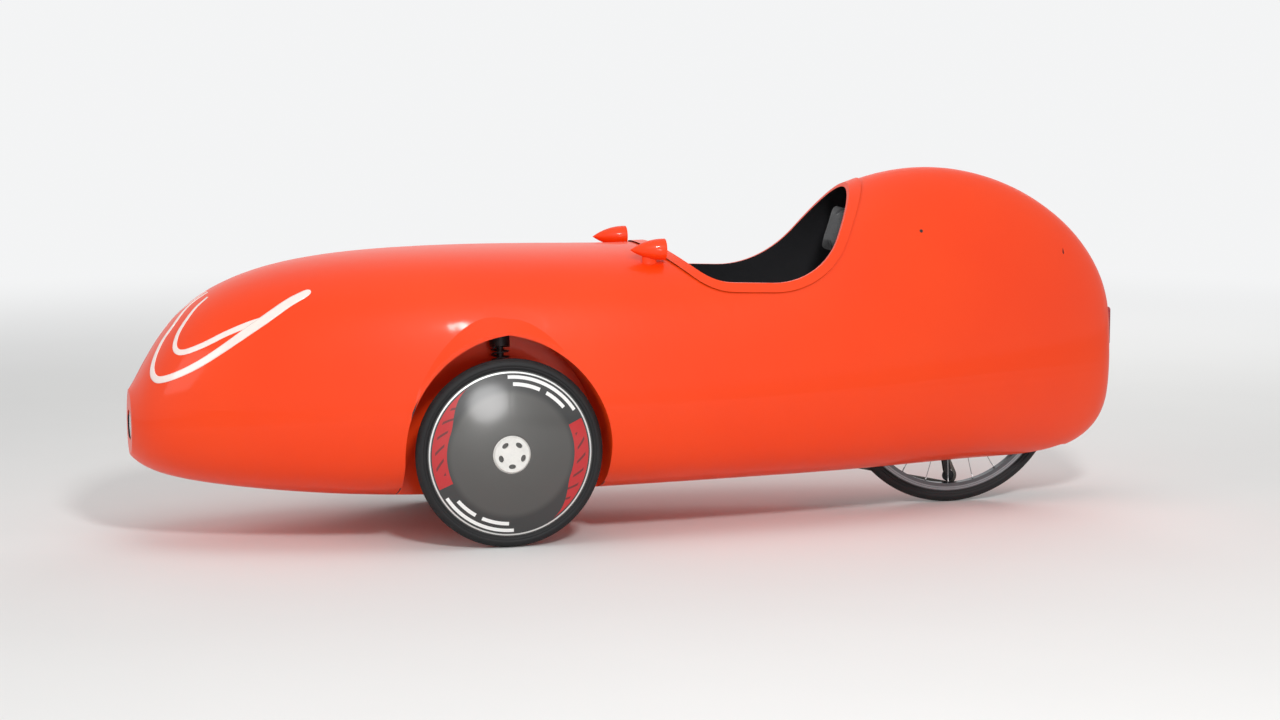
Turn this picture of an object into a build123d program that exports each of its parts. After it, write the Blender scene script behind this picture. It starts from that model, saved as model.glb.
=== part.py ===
from build123d import *
import math
import os

os.makedirs("parts", exist_ok=True)

# Frame: +X forward, +Y to the rider's left, +Z up, origin under the middle of the box on the ground.
# All lengths in millimetres, all angles in degrees.

# Places of the three wheels
front_axle_x = 418.0
wheelbase = 1276.0
half_track = 340.0
rear_axle_x = front_axle_x - wheelbase

# Front wheels: 406 rims with narrow tyres, closed by a convex disc on the outside
front_tyre_radius = 235.0
front_tyre_width = 32.0
front_tyre_height = 28.0
front_rim_radius = front_tyre_radius - front_tyre_height
front_rim_depth = 14.0
front_rim_width = 24.0
disc_thickness = 2.0
disc_dome = 16.0
disc_fullness = 0.68
disc_edge_inset = 2.0
disc_bore_radius = 12.0
hub_nose_radius = 22.0
axle_end_room = 6.5
drum_radius = 45.0
drum_width = 38.0
hub_cap_radius = 47.0
hub_cap_height = 6.0
hub_cap_taper = 35.0
hub_cap_hole_count = 5
hub_cap_hole_circle = 29.0
hub_cap_hole_half_width = 6.0
hub_cap_hole_half_length = 9.0
hub_cap_seat_edge = 4.0

# Rear wheel: 559 rim with spokes
rear_tyre_radius = 311.0
rear_tyre_width = 34.0
rear_tyre_height = 30.0
rear_rim_radius = rear_tyre_radius - rear_tyre_height
rear_rim_depth = 20.0
rear_rim_width = 22.0
rear_flange_radius = 27.0
rear_flange_spacing = 34.0
rear_spoke_count = 24
spoke_radius = 1.1
spoke_head_offset = 3.1
spoke_head_inset = 4.0
spoke_rim_gap = 0.2
spoke_rim_y = 3.0

# Body shell
wall = 4.0
seam_z = 352.0
coaming_height = 22.0
coaming_proud = 4.0
half_body_reach = 420.0

# Sections of the shell from nose to tail. Columns: place ahead of the front axle, height of the
# bottom, of the widest line and of the top, half width, and how full the curve is along the floor,
# up the side and over the top, where 0.55 is near an ellipse.
shell_sections = [
    (898.0, 214.0, 290.0, 378.0, 84.0, 0.60, 0.55, 0.55),
    (860.0, 184.0, 295.0, 441.0, 146.0, 0.62, 0.60, 0.58),
    (780.0, 156.0, 306.0, 554.0, 208.0, 0.65, 0.64, 0.60),
    (640.0, 132.0, 316.0, 647.0, 272.0, 0.69, 0.69, 0.62),
    (430.0, 110.0, 326.0, 699.0, 331.0, 0.72, 0.76, 0.64),
    (200.0, 99.0, 332.0, 716.0, 369.0, 0.74, 0.82, 0.66),
    (-40.0, 97.0, 336.0, 719.0, 383.0, 0.74, 0.84, 0.66),
    (-280.0, 100.0, 342.0, 716.0, 377.0, 0.74, 0.82, 0.66),
    (-520.0, 103.0, 349.0, 722.0, 359.0, 0.74, 0.76, 0.62),
    (-690.0, 105.0, 354.0, 750.0, 342.0, 0.73, 0.71, 0.58),
    (-850.0, 107.0, 359.0, 807.0, 321.0, 0.72, 0.65, 0.52),
    (-1010.0, 110.0, 364.0, 872.0, 292.0, 0.70, 0.60, 0.46),
    (-1180.0, 115.0, 370.0, 901.0, 251.0, 0.67, 0.55, 0.42),
    (-1360.0, 120.0, 374.0, 876.0, 199.0, 0.64, 0.52, 0.42),
    (-1540.0, 128.0, 375.0, 789.0, 134.0, 0.60, 0.52, 0.46),
    (-1660.0, 170.0, 374.0, 672.0, 80.0, 0.57, 0.53, 0.50),
    (-1724.0, 270.0, 385.0, 520.0, 26.0, 0.55, 0.55, 0.55),
]
shell_tuck = 0.03

# Pads moulded on the floor. Columns: place ahead of the front axle, half length, half width and
# height of the top
bridge_pad = (0.0, 30.0, 114.0, 110.0)
mast_pad = (470.0, 58.0, 48.0, 130.0)
seat_foot_pad = (-480.0, 34.0, 150.0, 116.0)
pad_rounding = 8.0

# Socket for a flag pole beside the tail
flag_ahead = -1563.0
flag_y = 73.0
flag_bore_floor_z = 636.0
flag_bore_length = 40.0
flag_bore_radius = 3.0
flag_boss_radius = 7.0

# Opening in the nose for the lamp
nose_opening_z = 290.0
nose_opening_width = 110.0
nose_opening_height = 70.0
nose_cover_inset = 4.0
nose_cover_thickness = 2.0
nose_lamp_depth = 40.0
nose_reflector_spacing = 44.0
nose_reflector_radius = 19.0
nose_reflector_depth = 22.0

# Cockpit opening in side view: place ahead of the front axle, height
cockpit_front = (-400.0, 752.0)
cockpit_low_front = (-545.0, 636.0)
cockpit_low_rear = (-825.0, 626.0)
cockpit_rear = (-1030.0, 950.0)
cockpit_front_radius = 150.0
cockpit_rear_radius = 220.0

# Wheel arches in side view, about the front axle
arch_front_reach = 259.0
arch_rear_reach = 255.0
arch_top_z = 530.0
arch_spring_z = 215.0
arch_shoulder_z = 401.0
arch_front_shoulder = 214.0
arch_rear_shoulder = 202.0
wheel_box_wall = 3.0
wheel_room_inboard = 143.0
wheel_box_inner_y = half_track - wheel_room_inboard
link_window_front = 45.0
link_window_rear = -100.0
link_window_top_z = 205.0

# Flare over each wheel arch: its face stands outside the middle of the tyre, its root inside the
# shell; each is wider than the arch by its own amount at the crown, the shoulders and the springs
flare_face_y = half_track + 27.0
flare_root_y = half_track - 66.0
flare_face_growth = (6.0, 4.0, -22.0)
flare_root_growth = (114.0, 92.0, -2.0)

# Slot for the rear wheel in the floor
rear_slot_front = 400.0
rear_slot_rear = 330.0
rear_slot_left = 42.0
rear_slot_right = 84.0
rear_slot_radius = 38.0

# Steering: kingpins lean inwards at the top
kingpin_tilt = 12.0
scrub_radius = 10.0
kingpin_ground_y = half_track - scrub_radius
kingpin_lean = math.radians(kingpin_tilt)
strut_radius = 17.0
strut_top_h = 360.0
stub_radius = 14.0
piston_radius = 9.0
piston_hold = 22.0
top_mount_radius = 25.0
top_mount_drop = 45.0
top_mount_height = 80.0
top_mount_h = (arch_top_z - top_mount_drop) / math.cos(kingpin_lean)
piston_top_h = top_mount_h + piston_hold
lower_pin_radius = 6.0
lower_eye_radius = 13.0
lower_eye_h = 140.0
lower_eye_height = 16.0
knuckle_foot_h = 160.0
knuckle_foot_lap = 2.0
lower_arm_radius = 8.0
axle_radius = 6.0
axle_overhang = 6.0
brake_gap = 8.0
brake_plate_thickness = 4.0
brake_plate_edge = 3.0
running_fit = 0.05
rod_fit = 0.1
steering_arm_length = 60.0
steering_arm_h = 169.0
steering_arm_thickness = 8.0
steering_arm_width = 16.0
rod_pin_radius = 3.0
rod_pin_height = 13.0
rod_eye_radius = 8.0
rod_eye_height = 11.0
rod_radius = 5.0
open_pivot_bore = 4.5
seat_gap = 0.3
rod_inner_y = 15.0
bridge_half_width = 110.0
bridge_half_length = 26.0
bridge_rise = 9.0

# Tiller
tiller_pin_radius = 8.0
tiller_pin_height = 60.0
tiller_foot_height = 72.0
tiller_column_lap = 4.0
tiller_bend_rise = 110.0
tiller_bend_radius = 60.0
tiller_tube_radius = 12.0
tiller_foot_radius = 15.0
tiller_reach = 420.0
tiller_grip_z = 560.0
tiller_grip_half = 130.0
grip_radius = 15.0
grip_inner_y = 30.0

# Seat and cushions, places ahead of the front axle
seat_front = (-330.0, 262.0)
seat_low = (-500.0, 196.0)
seat_top = (-945.0, 585.0)
seat_thickness = 5.0
seat_half_width = 165.0
seat_low_radius = 120.0
pad_thickness = 24.0
pad_end_gap = 12.0
pad_side_gap = 15.0
seat_leg_thickness = 6.0
seat_leg_spread = 270.0
headrest_bar_top = (-1012.0, 800.0)
headrest_bar_half_width = 30.0
headrest_start = 90.0
headrest_length = 125.0
headrest_thickness = 40.0
headrest_half_width = 85.0
headrest_rounding = 12.0

# Cranks
crank_axle_ahead = 470.0
crank_axle_z = 385.0
crank_length = 150.0
crank_half_span = 62.0
spindle_radius = 12.0
bracket_radius = 21.0
bracket_half_width = 34.0
mast_foot_length = 110.0
mast_foot_width = 90.0
mast_foot_thickness = 8.0
mast_radius = 16.0
chainring_radius = 88.0
chainring_inner_radius = 74.0
chainring_thickness = 4.0
chainring_arm_length = 80.0
chainring_arm_width = 16.0
chainring_arm_circle = 38.0
chainring_arm_count = 5
crank_arm_width = 26.0
crank_arm_thickness = 12.0
pedal_pin_reach = 20.0
pedal_gap = 12.0
pedal_rounding = 5.0
chain_y = -45.0
chain_width = 6.0
chain_thickness = 8.0
pedal_half_length = 44.0
pedal_width = 80.0
pedal_thickness = 22.0
pedal_pin_radius = 5.0

# Bulkhead between the seat and the rear wheel, and the swingarm's pivot behind it
bulkhead_gap = 115.0
bulkhead_thickness = 8.0
bulkhead_ahead = rear_tyre_radius + bulkhead_gap - wheelbase
swingarm_pivot_gap = 55.0
swingarm_pivot_ahead = bulkhead_ahead - swingarm_pivot_gap
swingarm_pivot_z = 300.0

# Pulleys that guide the chain: place ahead of the front axle, height and radius
idler = (-380.0, 192.0, 30.0)
return_roller = (swingarm_pivot_ahead, 106.0, 12.0)
guide_pulley = (14.0 - wheelbase, rear_tyre_radius - 89.0, 16.0)
tension_pulley = (-14.0 - wheelbase, rear_tyre_radius - 249.0, 16.0)
pulley_half_width = 2.0
pulley_clearance = 0.3
cage_plate_thickness = 2.0
cage_plate_offset = 6.0
cage_plate_width = 18.0
hanger_thickness = 4.0

# Rear drive and suspension
hub_radius = 17.0
hub_right_y = -55.0
hub_left_y = 30.0
hub_lap = 1.0
rear_flange_thickness = 3.0
cassette_radius = 46.0
cassette_radii = [58.0, 52.0, 46.5, 41.5, 37.0, 32.5, 28.0]
cassette_near = -25.0
cassette_step = 4.6
sprocket_thickness = 2.0
swingarm_half_width = 70.0
swingarm_thickness = 10.0
swingarm_pivot_depth = 20.0
swingarm_pivot_nose = 14.0
swingarm_end_depth = 14.0
swingarm_end_tail = 16.0
swingarm_bore_radius = 8.05
pivot_pin_radius = 8.0
pivot_lug_gap = 6.0
pivot_lug_thickness = 8.0
pivot_lug_root = 24.0
pivot_lug_tip = 14.0
rear_axle_overhang = 10.0
chain_window_top_z = 290.0
chain_window_width = 30.0
shock_radius = 19.0
shock_rod_radius = 8.0
shock_top_drop = 30.0
shock_wall_gap = 3.0
shock_foot_length = 30.0
shock_head_length = 25.0
pivot_tube_radius = 14.0

# Mirrors on either side of the deck, at the front of the cockpit
mirror_ahead = -385.0
mirror_y = 205.0
mirror_z = 717.0
mirror_length = 90.0
mirror_radius = 27.0
mirror_fullness = 0.8
mirror_rim = 2.0
mirror_recess = 4.0
mirror_glass_thickness = 2.5
mirror_glass_gap = 1.0
mirror_foot_set_back = 5.0
mirror_foot_half_length = 19.0
mirror_foot_half_width = 8.0
mirror_foot_height = 50.0
mirror_foot_start = 40.0

# Tail lamp
tail_lamp_length = 105.0
tail_lamp_width = 18.0
tail_lamp_z = 462.0
tail_lamp_depth = 10.0
tail_lamp_rounding = 6.0


def ahead(distance):
    return front_axle_x + distance


def save(builder, label):
    builder.part.label = label
    export_step(builder.part, f"parts/{label}.step")


def other_side(source):
    with BuildPart() as other:
        mirror(source.part, about=Plane.XZ)
    return other


def save_pair(builder, label):
    save(builder, f"{label}_left")
    save(other_side(builder), f"{label}_right")


# Body shell
def section_at(place):
    """Row of the shell at any place, taken between its two neighbours in the table."""
    for front, rear in zip(shell_sections, shell_sections[1:]):
        if rear[0] <= place <= front[0]:
            share = (front[0] - place) / (front[0] - rear[0])
            return tuple(a + (b - a) * share for a, b in zip(front, rear))


def section_face(row, inset, along=0.0):
    """Section of the shell, smaller all round by the inset and moved along the body."""
    place, bottom, widest, top, half_width, floor_full, side_full, top_full = row
    low = bottom + inset
    high = top - inset
    half = half_width - inset
    floor_handle = widest - (widest - low) * floor_full
    side_handle = (high - widest) * side_full
    with BuildSketch(Plane.YZ.offset(ahead(place) + along)) as outline:
        with BuildLine():
            Bezier((0, low), (half * floor_full, low), (half, floor_handle), (half, widest))
            tucked = half - side_handle * shell_tuck
            Bezier((half, widest), (tucked, widest + side_handle), (half * top_full, high), (0, high))
            mirror(about=Plane.YZ)
        make_face()
    return outline.sketch


def shell_body(inset):
    """Closed body through all sections, smaller than the outside by the inset."""
    nose_row, tail_row = shell_sections[0], shell_sections[-1]
    with BuildPart() as body:
        sections = []
        for row in shell_sections:
            along = inset * ((row is tail_row) - (row is nose_row))
            sections.append(section_face(row, inset, along))
        loft(sections)
    return body


def cockpit_cut(sketch_grow):
    """Everything above the saddle line of the cockpit, grown by a margin."""
    with BuildPart() as cut:
        with BuildSketch(Plane.XZ):
            with BuildLine():
                saddle = [cockpit_front, cockpit_low_front, cockpit_low_rear, cockpit_rear]
                points = [(ahead(x), z) for x, z in saddle]
                FilletPolyline(*points, radius=[cockpit_front_radius, cockpit_rear_radius])
                Polyline(points[-1], (points[0][0], points[-1][1]), points[0])
            make_face()
            if sketch_grow:
                offset(amount=sketch_grow)
        extrude(amount=half_body_reach, both=True)
    return cut


def arch_tunnel(grow, inner_y):
    """Solid that fills the left wheel arch from the inner wall outwards."""
    with BuildPart() as tunnel:
        with BuildSketch(Plane.XZ.offset(-inner_y)):
            with BuildLine():
                front = ahead(arch_front_reach)
                rear = ahead(-arch_rear_reach)
                crown = (ahead(arch_front_reach - arch_rear_reach), arch_top_z)
                ThreePointArc((front, arch_spring_z), (ahead(arch_front_shoulder), arch_shoulder_z), crown)
                ThreePointArc(crown, (ahead(-arch_rear_shoulder), arch_shoulder_z), (rear, arch_spring_z))
                Polyline((rear, arch_spring_z), (rear, 0), (front, 0), (front, arch_spring_z))
            make_face()
            if grow:
                offset(amount=grow)
        extrude(amount=inner_y - half_body_reach)
    return tunnel


def arch_outline(y, growth):
    """Outline of the wheel arch at y, wider by its own amount at the crown, shoulders and springs."""
    at_crown, at_shoulders, at_springs = growth
    with BuildSketch(Plane.XZ.offset(-y)) as outline:
        with BuildLine():
            front = ahead(arch_front_reach + at_springs)
            rear = ahead(-arch_rear_reach - at_springs)
            crown = (ahead(arch_front_reach - arch_rear_reach), arch_top_z + at_crown)
            front_shoulder = (ahead(arch_front_shoulder + at_shoulders), arch_shoulder_z + at_shoulders)
            rear_shoulder = (ahead(-arch_rear_shoulder - at_shoulders), arch_shoulder_z + at_shoulders)
            ThreePointArc((front, arch_spring_z), front_shoulder, crown)
            ThreePointArc(crown, rear_shoulder, (rear, arch_spring_z))
            Polyline((rear, arch_spring_z), (rear, 0), (front, 0), (front, arch_spring_z))
        make_face()
    return outline.sketch


outer_body = shell_body(0)
inner_body = shell_body(wall)
middle_body = shell_body(wall / 2)
arch_left = arch_tunnel(0, wheel_box_inner_y)
arch_left_outside = arch_tunnel(wheel_box_wall, wheel_box_inner_y - wheel_box_wall)
cockpit = cockpit_cut(0)

# Flare over the left arch, from its root inside the shell out to its face
with BuildPart() as arch_flare:
    loft(
        [arch_outline(flare_root_y, flare_root_growth), arch_outline(flare_face_y, flare_face_growth)],
        ruled=True,
    )

# Pads on the floor for the steering bridge and the crank mast
with BuildPart() as floor_pads:
    for place, half_length, half_width, top in (bridge_pad, mast_pad, seat_foot_pad):
        with BuildSketch(Plane.XY):
            with Locations((ahead(place), 0)):
                RectangleRounded(2 * half_length, 2 * half_width, pad_rounding)
        extrude(amount=top)
    add(middle_body.part, mode=Mode.INTERSECT)

with BuildPart() as flare_skin:
    add(arch_flare.part)
    add(middle_body.part, mode=Mode.SUBTRACT)

with BuildPart() as shell:
    add(outer_body.part)
    add(inner_body.part, mode=Mode.SUBTRACT)
    add(cockpit.part, mode=Mode.SUBTRACT)
    add(flare_skin.part)
    mirror(flare_skin.part, about=Plane.XZ)
    add(arch_left_outside.part, mode=Mode.SUBTRACT)
    mirror(arch_left_outside.part, about=Plane.XZ, mode=Mode.SUBTRACT)
    with BuildSketch(Plane.XY):
        with BuildLine():
            slot = [
                (rear_axle_x + rear_slot_front, -rear_slot_right),
                (rear_axle_x + rear_slot_front, rear_slot_left),
                (rear_axle_x - rear_slot_rear, rear_slot_left),
                (rear_axle_x - rear_slot_rear, -rear_slot_right),
            ]
            FilletPolyline(*slot, radius=rear_slot_radius, close=True)
        make_face()
    extrude(amount=seam_z / 2, mode=Mode.SUBTRACT)
    with BuildSketch(Plane.YZ.offset(ahead(shell_sections[0][0]))):
        with Locations((0, nose_opening_z)):
            SlotOverall(nose_opening_width, nose_opening_height)
    extrude(amount=-nose_lamp_depth, mode=Mode.SUBTRACT)

# Socket for a flag pole, moulded in the deck beside the tail
with BuildPart() as flag_socket:
    with BuildSketch(Plane.XY.offset(flag_bore_floor_z - wall)):
        with Locations((ahead(flag_ahead), flag_y)):
            Circle(flag_boss_radius)
    extrude(amount=flag_bore_length * 2)
    add(middle_body.part, mode=Mode.INTERSECT)

# Raised lip round the cockpit opening, moulded with the upper shell
lip_body = shell_body(-coaming_proud)
lip_band = cockpit_cut(coaming_height)
with BuildPart() as cockpit_lip:
    add(lip_body.part)
    add(middle_body.part, mode=Mode.SUBTRACT)
    add(lip_band.part, mode=Mode.INTERSECT)
    add(cockpit.part, mode=Mode.SUBTRACT)

with BuildPart() as hull_upper:
    add(shell.part)
    split(bisect_by=Plane.XY.offset(seam_z), keep=Keep.TOP)
    add(cockpit_lip.part)
    add(flag_socket.part)
    with BuildSketch(Plane.XY.offset(flag_bore_floor_z)):
        with Locations((ahead(flag_ahead), flag_y)):
            Circle(flag_bore_radius)
    extrude(amount=flag_bore_length * 2, mode=Mode.SUBTRACT)
save(hull_upper, "hull_upper")

with BuildPart() as hull_lower:
    add(shell.part)
    split(bisect_by=Plane.XY.offset(seam_z), keep=Keep.BOTTOM)
    add(floor_pads.part)
save(hull_lower, "hull_lower")

# Wheel boxes: the tunnel walls behind each arch, ending at the inside of the shell
with BuildPart() as flared_body:
    add(outer_body.part)
    add(arch_flare.part)

with BuildPart() as wheel_box:
    add(arch_left_outside.part)
    add(arch_left.part, mode=Mode.SUBTRACT)
    add(flared_body.part, mode=Mode.INTERSECT)
    with BuildSketch(Plane.XZ.offset(-wheel_box_inner_y - wheel_box_wall)):
        with BuildLine():
            rear_x, front_x = ahead(link_window_rear), ahead(link_window_front)
            window_low = [(front_x, 0), (rear_x, 0)]
            window_high = [(rear_x, link_window_top_z), (front_x, link_window_top_z)]
            Polyline(*window_low, *window_high, close=True)
        make_face()
    extrude(amount=3 * wheel_box_wall, mode=Mode.SUBTRACT)
save_pair(wheel_box, "wheel_box")

# Steering and front suspension, left side
kingpin_plane = Plane(
    origin=(front_axle_x, kingpin_ground_y, 0),
    x_dir=(1, 0, 0),
    z_dir=(0, -math.sin(kingpin_lean), math.cos(kingpin_lean)),
)


def kingpin_y(height):
    return kingpin_ground_y - height * math.tan(kingpin_lean)


def round_bar(plane, start, end, radius):
    with BuildSketch(plane.offset(start)) as profile:
        Circle(radius)
    extrude(profile.sketch, amount=end - start)


def flat_plate(plane, corners, rounding, thickness):
    with BuildSketch(plane) as profile:
        with BuildLine():
            FilletPolyline(*corners, radius=rounding, close=True)
        make_face()
    extrude(profile.sketch, amount=thickness)


axle_plane = Plane(origin=(front_axle_x, 0, front_tyre_radius), x_dir=(1, 0, 0), z_dir=(0, 1, 0))
strut_y = kingpin_y(front_tyre_radius)
brake_face_y = half_track - drum_width / 2 - brake_gap

with BuildPart() as strut:
    round_bar(kingpin_plane, knuckle_foot_h, strut_top_h, strut_radius)
    round_bar(kingpin_plane, strut_top_h, piston_top_h, piston_radius)
    round_bar(kingpin_plane, lower_eye_h - knuckle_foot_lap, knuckle_foot_h, lower_pin_radius)
    round_bar(axle_plane, strut_y, brake_face_y, stub_radius)
    arm_plane = kingpin_plane.offset(steering_arm_h)
    with BuildSketch(arm_plane):
        with Locations((-steering_arm_length / 2, 0)):
            SlotCenterToCenter(steering_arm_length, steering_arm_width)
    extrude(amount=steering_arm_thickness)
    with BuildSketch(arm_plane.offset(steering_arm_thickness)):
        with Locations((-steering_arm_length, 0)):
            Circle(rod_pin_radius)
    extrude(amount=rod_pin_height)
    with BuildSketch(axle_plane.offset(strut_y)):
        Circle(axle_radius)
    extrude(amount=brake_face_y - strut_y, mode=Mode.SUBTRACT)
save_pair(strut, "strut")

with BuildPart() as axle:
    round_bar(axle_plane, strut_y, half_track + drum_width / 2 + axle_overhang, axle_radius)
save_pair(axle, "axle")

with BuildPart() as brake_plate:
    with BuildSketch(axle_plane.offset(brake_face_y)):
        Circle(drum_radius - brake_plate_edge)
        Circle(axle_radius, mode=Mode.SUBTRACT)
    extrude(amount=brake_plate_thickness)
save_pair(brake_plate, "brake_plate")

with BuildPart() as top_mount:
    round_bar(kingpin_plane, top_mount_h, top_mount_h + top_mount_height, top_mount_radius)
    add(arch_left.part, mode=Mode.INTERSECT)
    with BuildSketch(kingpin_plane.offset(top_mount_h)):
        Circle(piston_radius + running_fit)
    extrude(amount=piston_hold + running_fit, mode=Mode.SUBTRACT)
save_pair(top_mount, "top_mount")

# Lower arms and the bridge on the floor that carries them and the tiller
link_y = kingpin_y(lower_eye_h)
arm_level = lower_eye_h * math.cos(kingpin_lean)
bridge_top_z = arm_level + bridge_rise
with BuildPart() as lower_arm:
    eye_half = lower_eye_height / 2
    arm_run = Plane(origin=(front_axle_x, 0, arm_level), z_dir=(0, 1, 0))
    round_bar(kingpin_plane, lower_eye_h - eye_half, lower_eye_h + eye_half, lower_eye_radius)
    round_bar(arm_run, bridge_half_width, link_y, lower_arm_radius)
    with BuildSketch(kingpin_plane.offset(lower_eye_h - lower_eye_height)):
        Circle(lower_pin_radius + running_fit)
    extrude(amount=2 * lower_eye_height, mode=Mode.SUBTRACT)
save_pair(lower_arm, "lower_arm")

with BuildPart() as steering_bridge:
    bridge_base_z = bridge_pad[3]
    with BuildSketch(Plane.XY.offset(bridge_base_z)):
        with Locations((front_axle_x, 0)):
            RectangleRounded(2 * bridge_half_length, 2 * bridge_half_width, pad_rounding)
    extrude(amount=bridge_top_z - bridge_base_z)
    with BuildSketch(Plane.XY.offset(bridge_top_z)):
        with Locations((front_axle_x, 0)):
            Circle(tiller_pin_radius)
    extrude(amount=tiller_pin_height)
save(steering_bridge, "steering_bridge")

# Track rods
outer_eye_plane = kingpin_plane.offset(steering_arm_h + steering_arm_thickness + seat_gap)
outer_eye = outer_eye_plane.from_local_coords((-steering_arm_length, 0, rod_eye_height / 2))
inner_eye = Vector(outer_eye.X, rod_inner_y, outer_eye.Z)
inner_eye_plane = Plane.XY.offset(outer_eye.Z - rod_eye_height / 2)
with BuildPart() as tie_rod:
    with BuildSketch(outer_eye_plane):
        with Locations((-steering_arm_length, 0)):
            Circle(rod_eye_radius)
    extrude(amount=rod_eye_height)
    with BuildSketch(inner_eye_plane):
        with Locations((inner_eye.X, inner_eye.Y)):
            Circle(rod_eye_radius)
    extrude(amount=rod_eye_height)
    rod_run = outer_eye - inner_eye
    round_bar(Plane(origin=inner_eye, z_dir=rod_run), 0, rod_run.length, rod_radius)
    with BuildSketch(outer_eye_plane.offset(-rod_radius)):
        with Locations((-steering_arm_length, 0)):
            Circle(rod_pin_radius + rod_fit)
    extrude(amount=rod_eye_height + 2 * rod_radius, mode=Mode.SUBTRACT)
    with BuildSketch(inner_eye_plane):
        with Locations((inner_eye.X, inner_eye.Y)):
            Circle(open_pivot_bore)
    extrude(amount=rod_eye_height, mode=Mode.SUBTRACT)
save_pair(tie_rod, "tie_rod")

# Tiller: foot on the bridge pin, leaning column and cross grip
foot_base_z = bridge_top_z + seat_gap
with BuildPart() as tiller:
    pitman_top = inner_eye_plane.offset(-seat_gap)
    pitman = [
        (inner_eye.X - rod_eye_radius, -rod_inner_y - rod_eye_radius),
        (inner_eye.X - rod_eye_radius, rod_inner_y + rod_eye_radius),
        (front_axle_x, tiller_foot_radius),
        (front_axle_x, -tiller_foot_radius),
    ]
    flat_plate(pitman_top, pitman, pad_rounding / 2, -steering_arm_thickness)
    with BuildSketch(Plane.XY.offset(foot_base_z)):
        with Locations((front_axle_x, 0)):
            Circle(tiller_foot_radius)
    extrude(amount=tiller_foot_height)
    column_foot = (front_axle_x, 0, foot_base_z + tiller_foot_height - tiller_column_lap)
    column_bend = (front_axle_x, 0, foot_base_z + tiller_bend_rise)
    column_top = (front_axle_x - tiller_reach, 0, tiller_grip_z)
    with BuildLine():
        column = FilletPolyline(column_foot, column_bend, column_top, radius=tiller_bend_radius)
    with BuildSketch(Plane(origin=column @ 0, z_dir=column % 0)):
        Circle(tiller_tube_radius)
    sweep()
    with BuildSketch(Plane(origin=(column_top[0], 0, tiller_grip_z), z_dir=(0, 1, 0))):
        Circle(tiller_tube_radius)
    extrude(amount=tiller_grip_half, both=True)
    with BuildSketch(Plane.XY.offset(foot_base_z)):
        with Locations((front_axle_x, 0)):
            Circle(tiller_pin_radius + running_fit)
    extrude(amount=tiller_pin_height, mode=Mode.SUBTRACT)
    with BuildSketch(pitman_top):
        with Locations((inner_eye.X, rod_inner_y), (inner_eye.X, -rod_inner_y)):
            Circle(rod_pin_radius)
    extrude(amount=rod_pin_height)
save(tiller, "tiller")

with BuildPart() as grip:
    with BuildSketch(Plane(origin=(column_top[0], 0, tiller_grip_z), z_dir=(0, 1, 0)).offset(grip_inner_y)):
        Circle(grip_radius)
        Circle(tiller_tube_radius, mode=Mode.SUBTRACT)
    extrude(amount=tiller_grip_half - grip_inner_y)
save_pair(grip, "grip")

# Front wheel, left: drum hub, rim with disc, tyre
wheel_axis = Axis((front_axle_x, 0, front_tyre_radius), (0, 1, 0))


def wheel_ring(inner, outer, near, far, plane=axle_plane):
    with BuildSketch(plane.offset(near)) as profile:
        Circle(outer)
        Circle(inner, mode=Mode.SUBTRACT)
    extrude(profile.sketch, amount=far - near)


def tyre_ring(x, y, radius, width, seat):
    """Tyre as a body of revolution about the axle at y, sitting on its rim."""
    half = width / 2
    foot = half * 0.6
    with BuildSketch(Plane.YZ.offset(x)) as profile:
        with BuildLine():
            left_side = (y - half, radius + radius - half)
            right_side = (y + half, radius + radius - half)
            Polyline(right_side, (y + foot, radius + seat), (y - foot, radius + seat), left_side)
            ThreePointArc(left_side, (y, 2 * radius), right_side)
        make_face()
    revolve(profile.sketch, axis=Axis((x, 0, radius), (0, 1, 0)))


with BuildPart() as front_tyre:
    tyre_ring(front_axle_x, half_track, front_tyre_radius, front_tyre_width, front_rim_radius)
save_pair(front_tyre, "front_tyre")

disc_face_y = half_track + front_rim_width / 2
with BuildPart() as front_disc:
    rim_inner = front_rim_radius - front_rim_depth
    half_rim = front_rim_width / 2
    wheel_ring(rim_inner, front_rim_radius, half_track - half_rim, half_track + half_rim)
    hub_z = front_tyre_radius
    with BuildSketch(Plane.YZ.offset(front_axle_x)):
        with BuildLine():
            edge_out = (disc_face_y, hub_z + front_rim_radius - disc_edge_inset)
            middle_z = hub_z + (front_rim_radius + hub_cap_radius) / 2
            mid_out = (disc_face_y + disc_dome * disc_fullness, middle_z)
            cap_seat = (disc_face_y + disc_dome, hub_z + hub_cap_radius + hub_cap_seat_edge)
            centre_out = (disc_face_y + disc_dome, hub_z + disc_bore_radius)
            ThreePointArc(edge_out, mid_out, cap_seat)
            Line(cap_seat, centre_out)
            edge_in = (edge_out[0] - disc_thickness, edge_out[1])
            mid_in = (mid_out[0] - disc_thickness, mid_out[1])
            seat_in = (cap_seat[0] - disc_thickness, cap_seat[1])
            centre_in = (centre_out[0] - disc_thickness, centre_out[1])
            ThreePointArc(edge_in, mid_in, seat_in)
            Line(seat_in, centre_in)
            Line(edge_out, edge_in)
            Line(centre_out, centre_in)
        make_face()
    revolve(axis=wheel_axis)
save_pair(front_disc, "front_disc")

cap_base_y = disc_face_y + disc_dome
with BuildPart() as front_hub:
    drum_inner_y = half_track - drum_width / 2
    drum_outer_y = half_track + drum_width / 2
    wheel_ring(axle_radius + running_fit, drum_radius, drum_inner_y, drum_outer_y)
    with BuildSketch(axle_plane.offset(half_track + drum_width / 2)):
        Circle(hub_nose_radius)
    extrude(amount=cap_base_y - disc_thickness - half_track - drum_width / 2)
    with BuildSketch(axle_plane.offset(half_track)):
        Circle(axle_radius + running_fit)
    extrude(amount=drum_width / 2 + axle_end_room, mode=Mode.SUBTRACT)
save_pair(front_hub, "front_hub")

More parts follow.
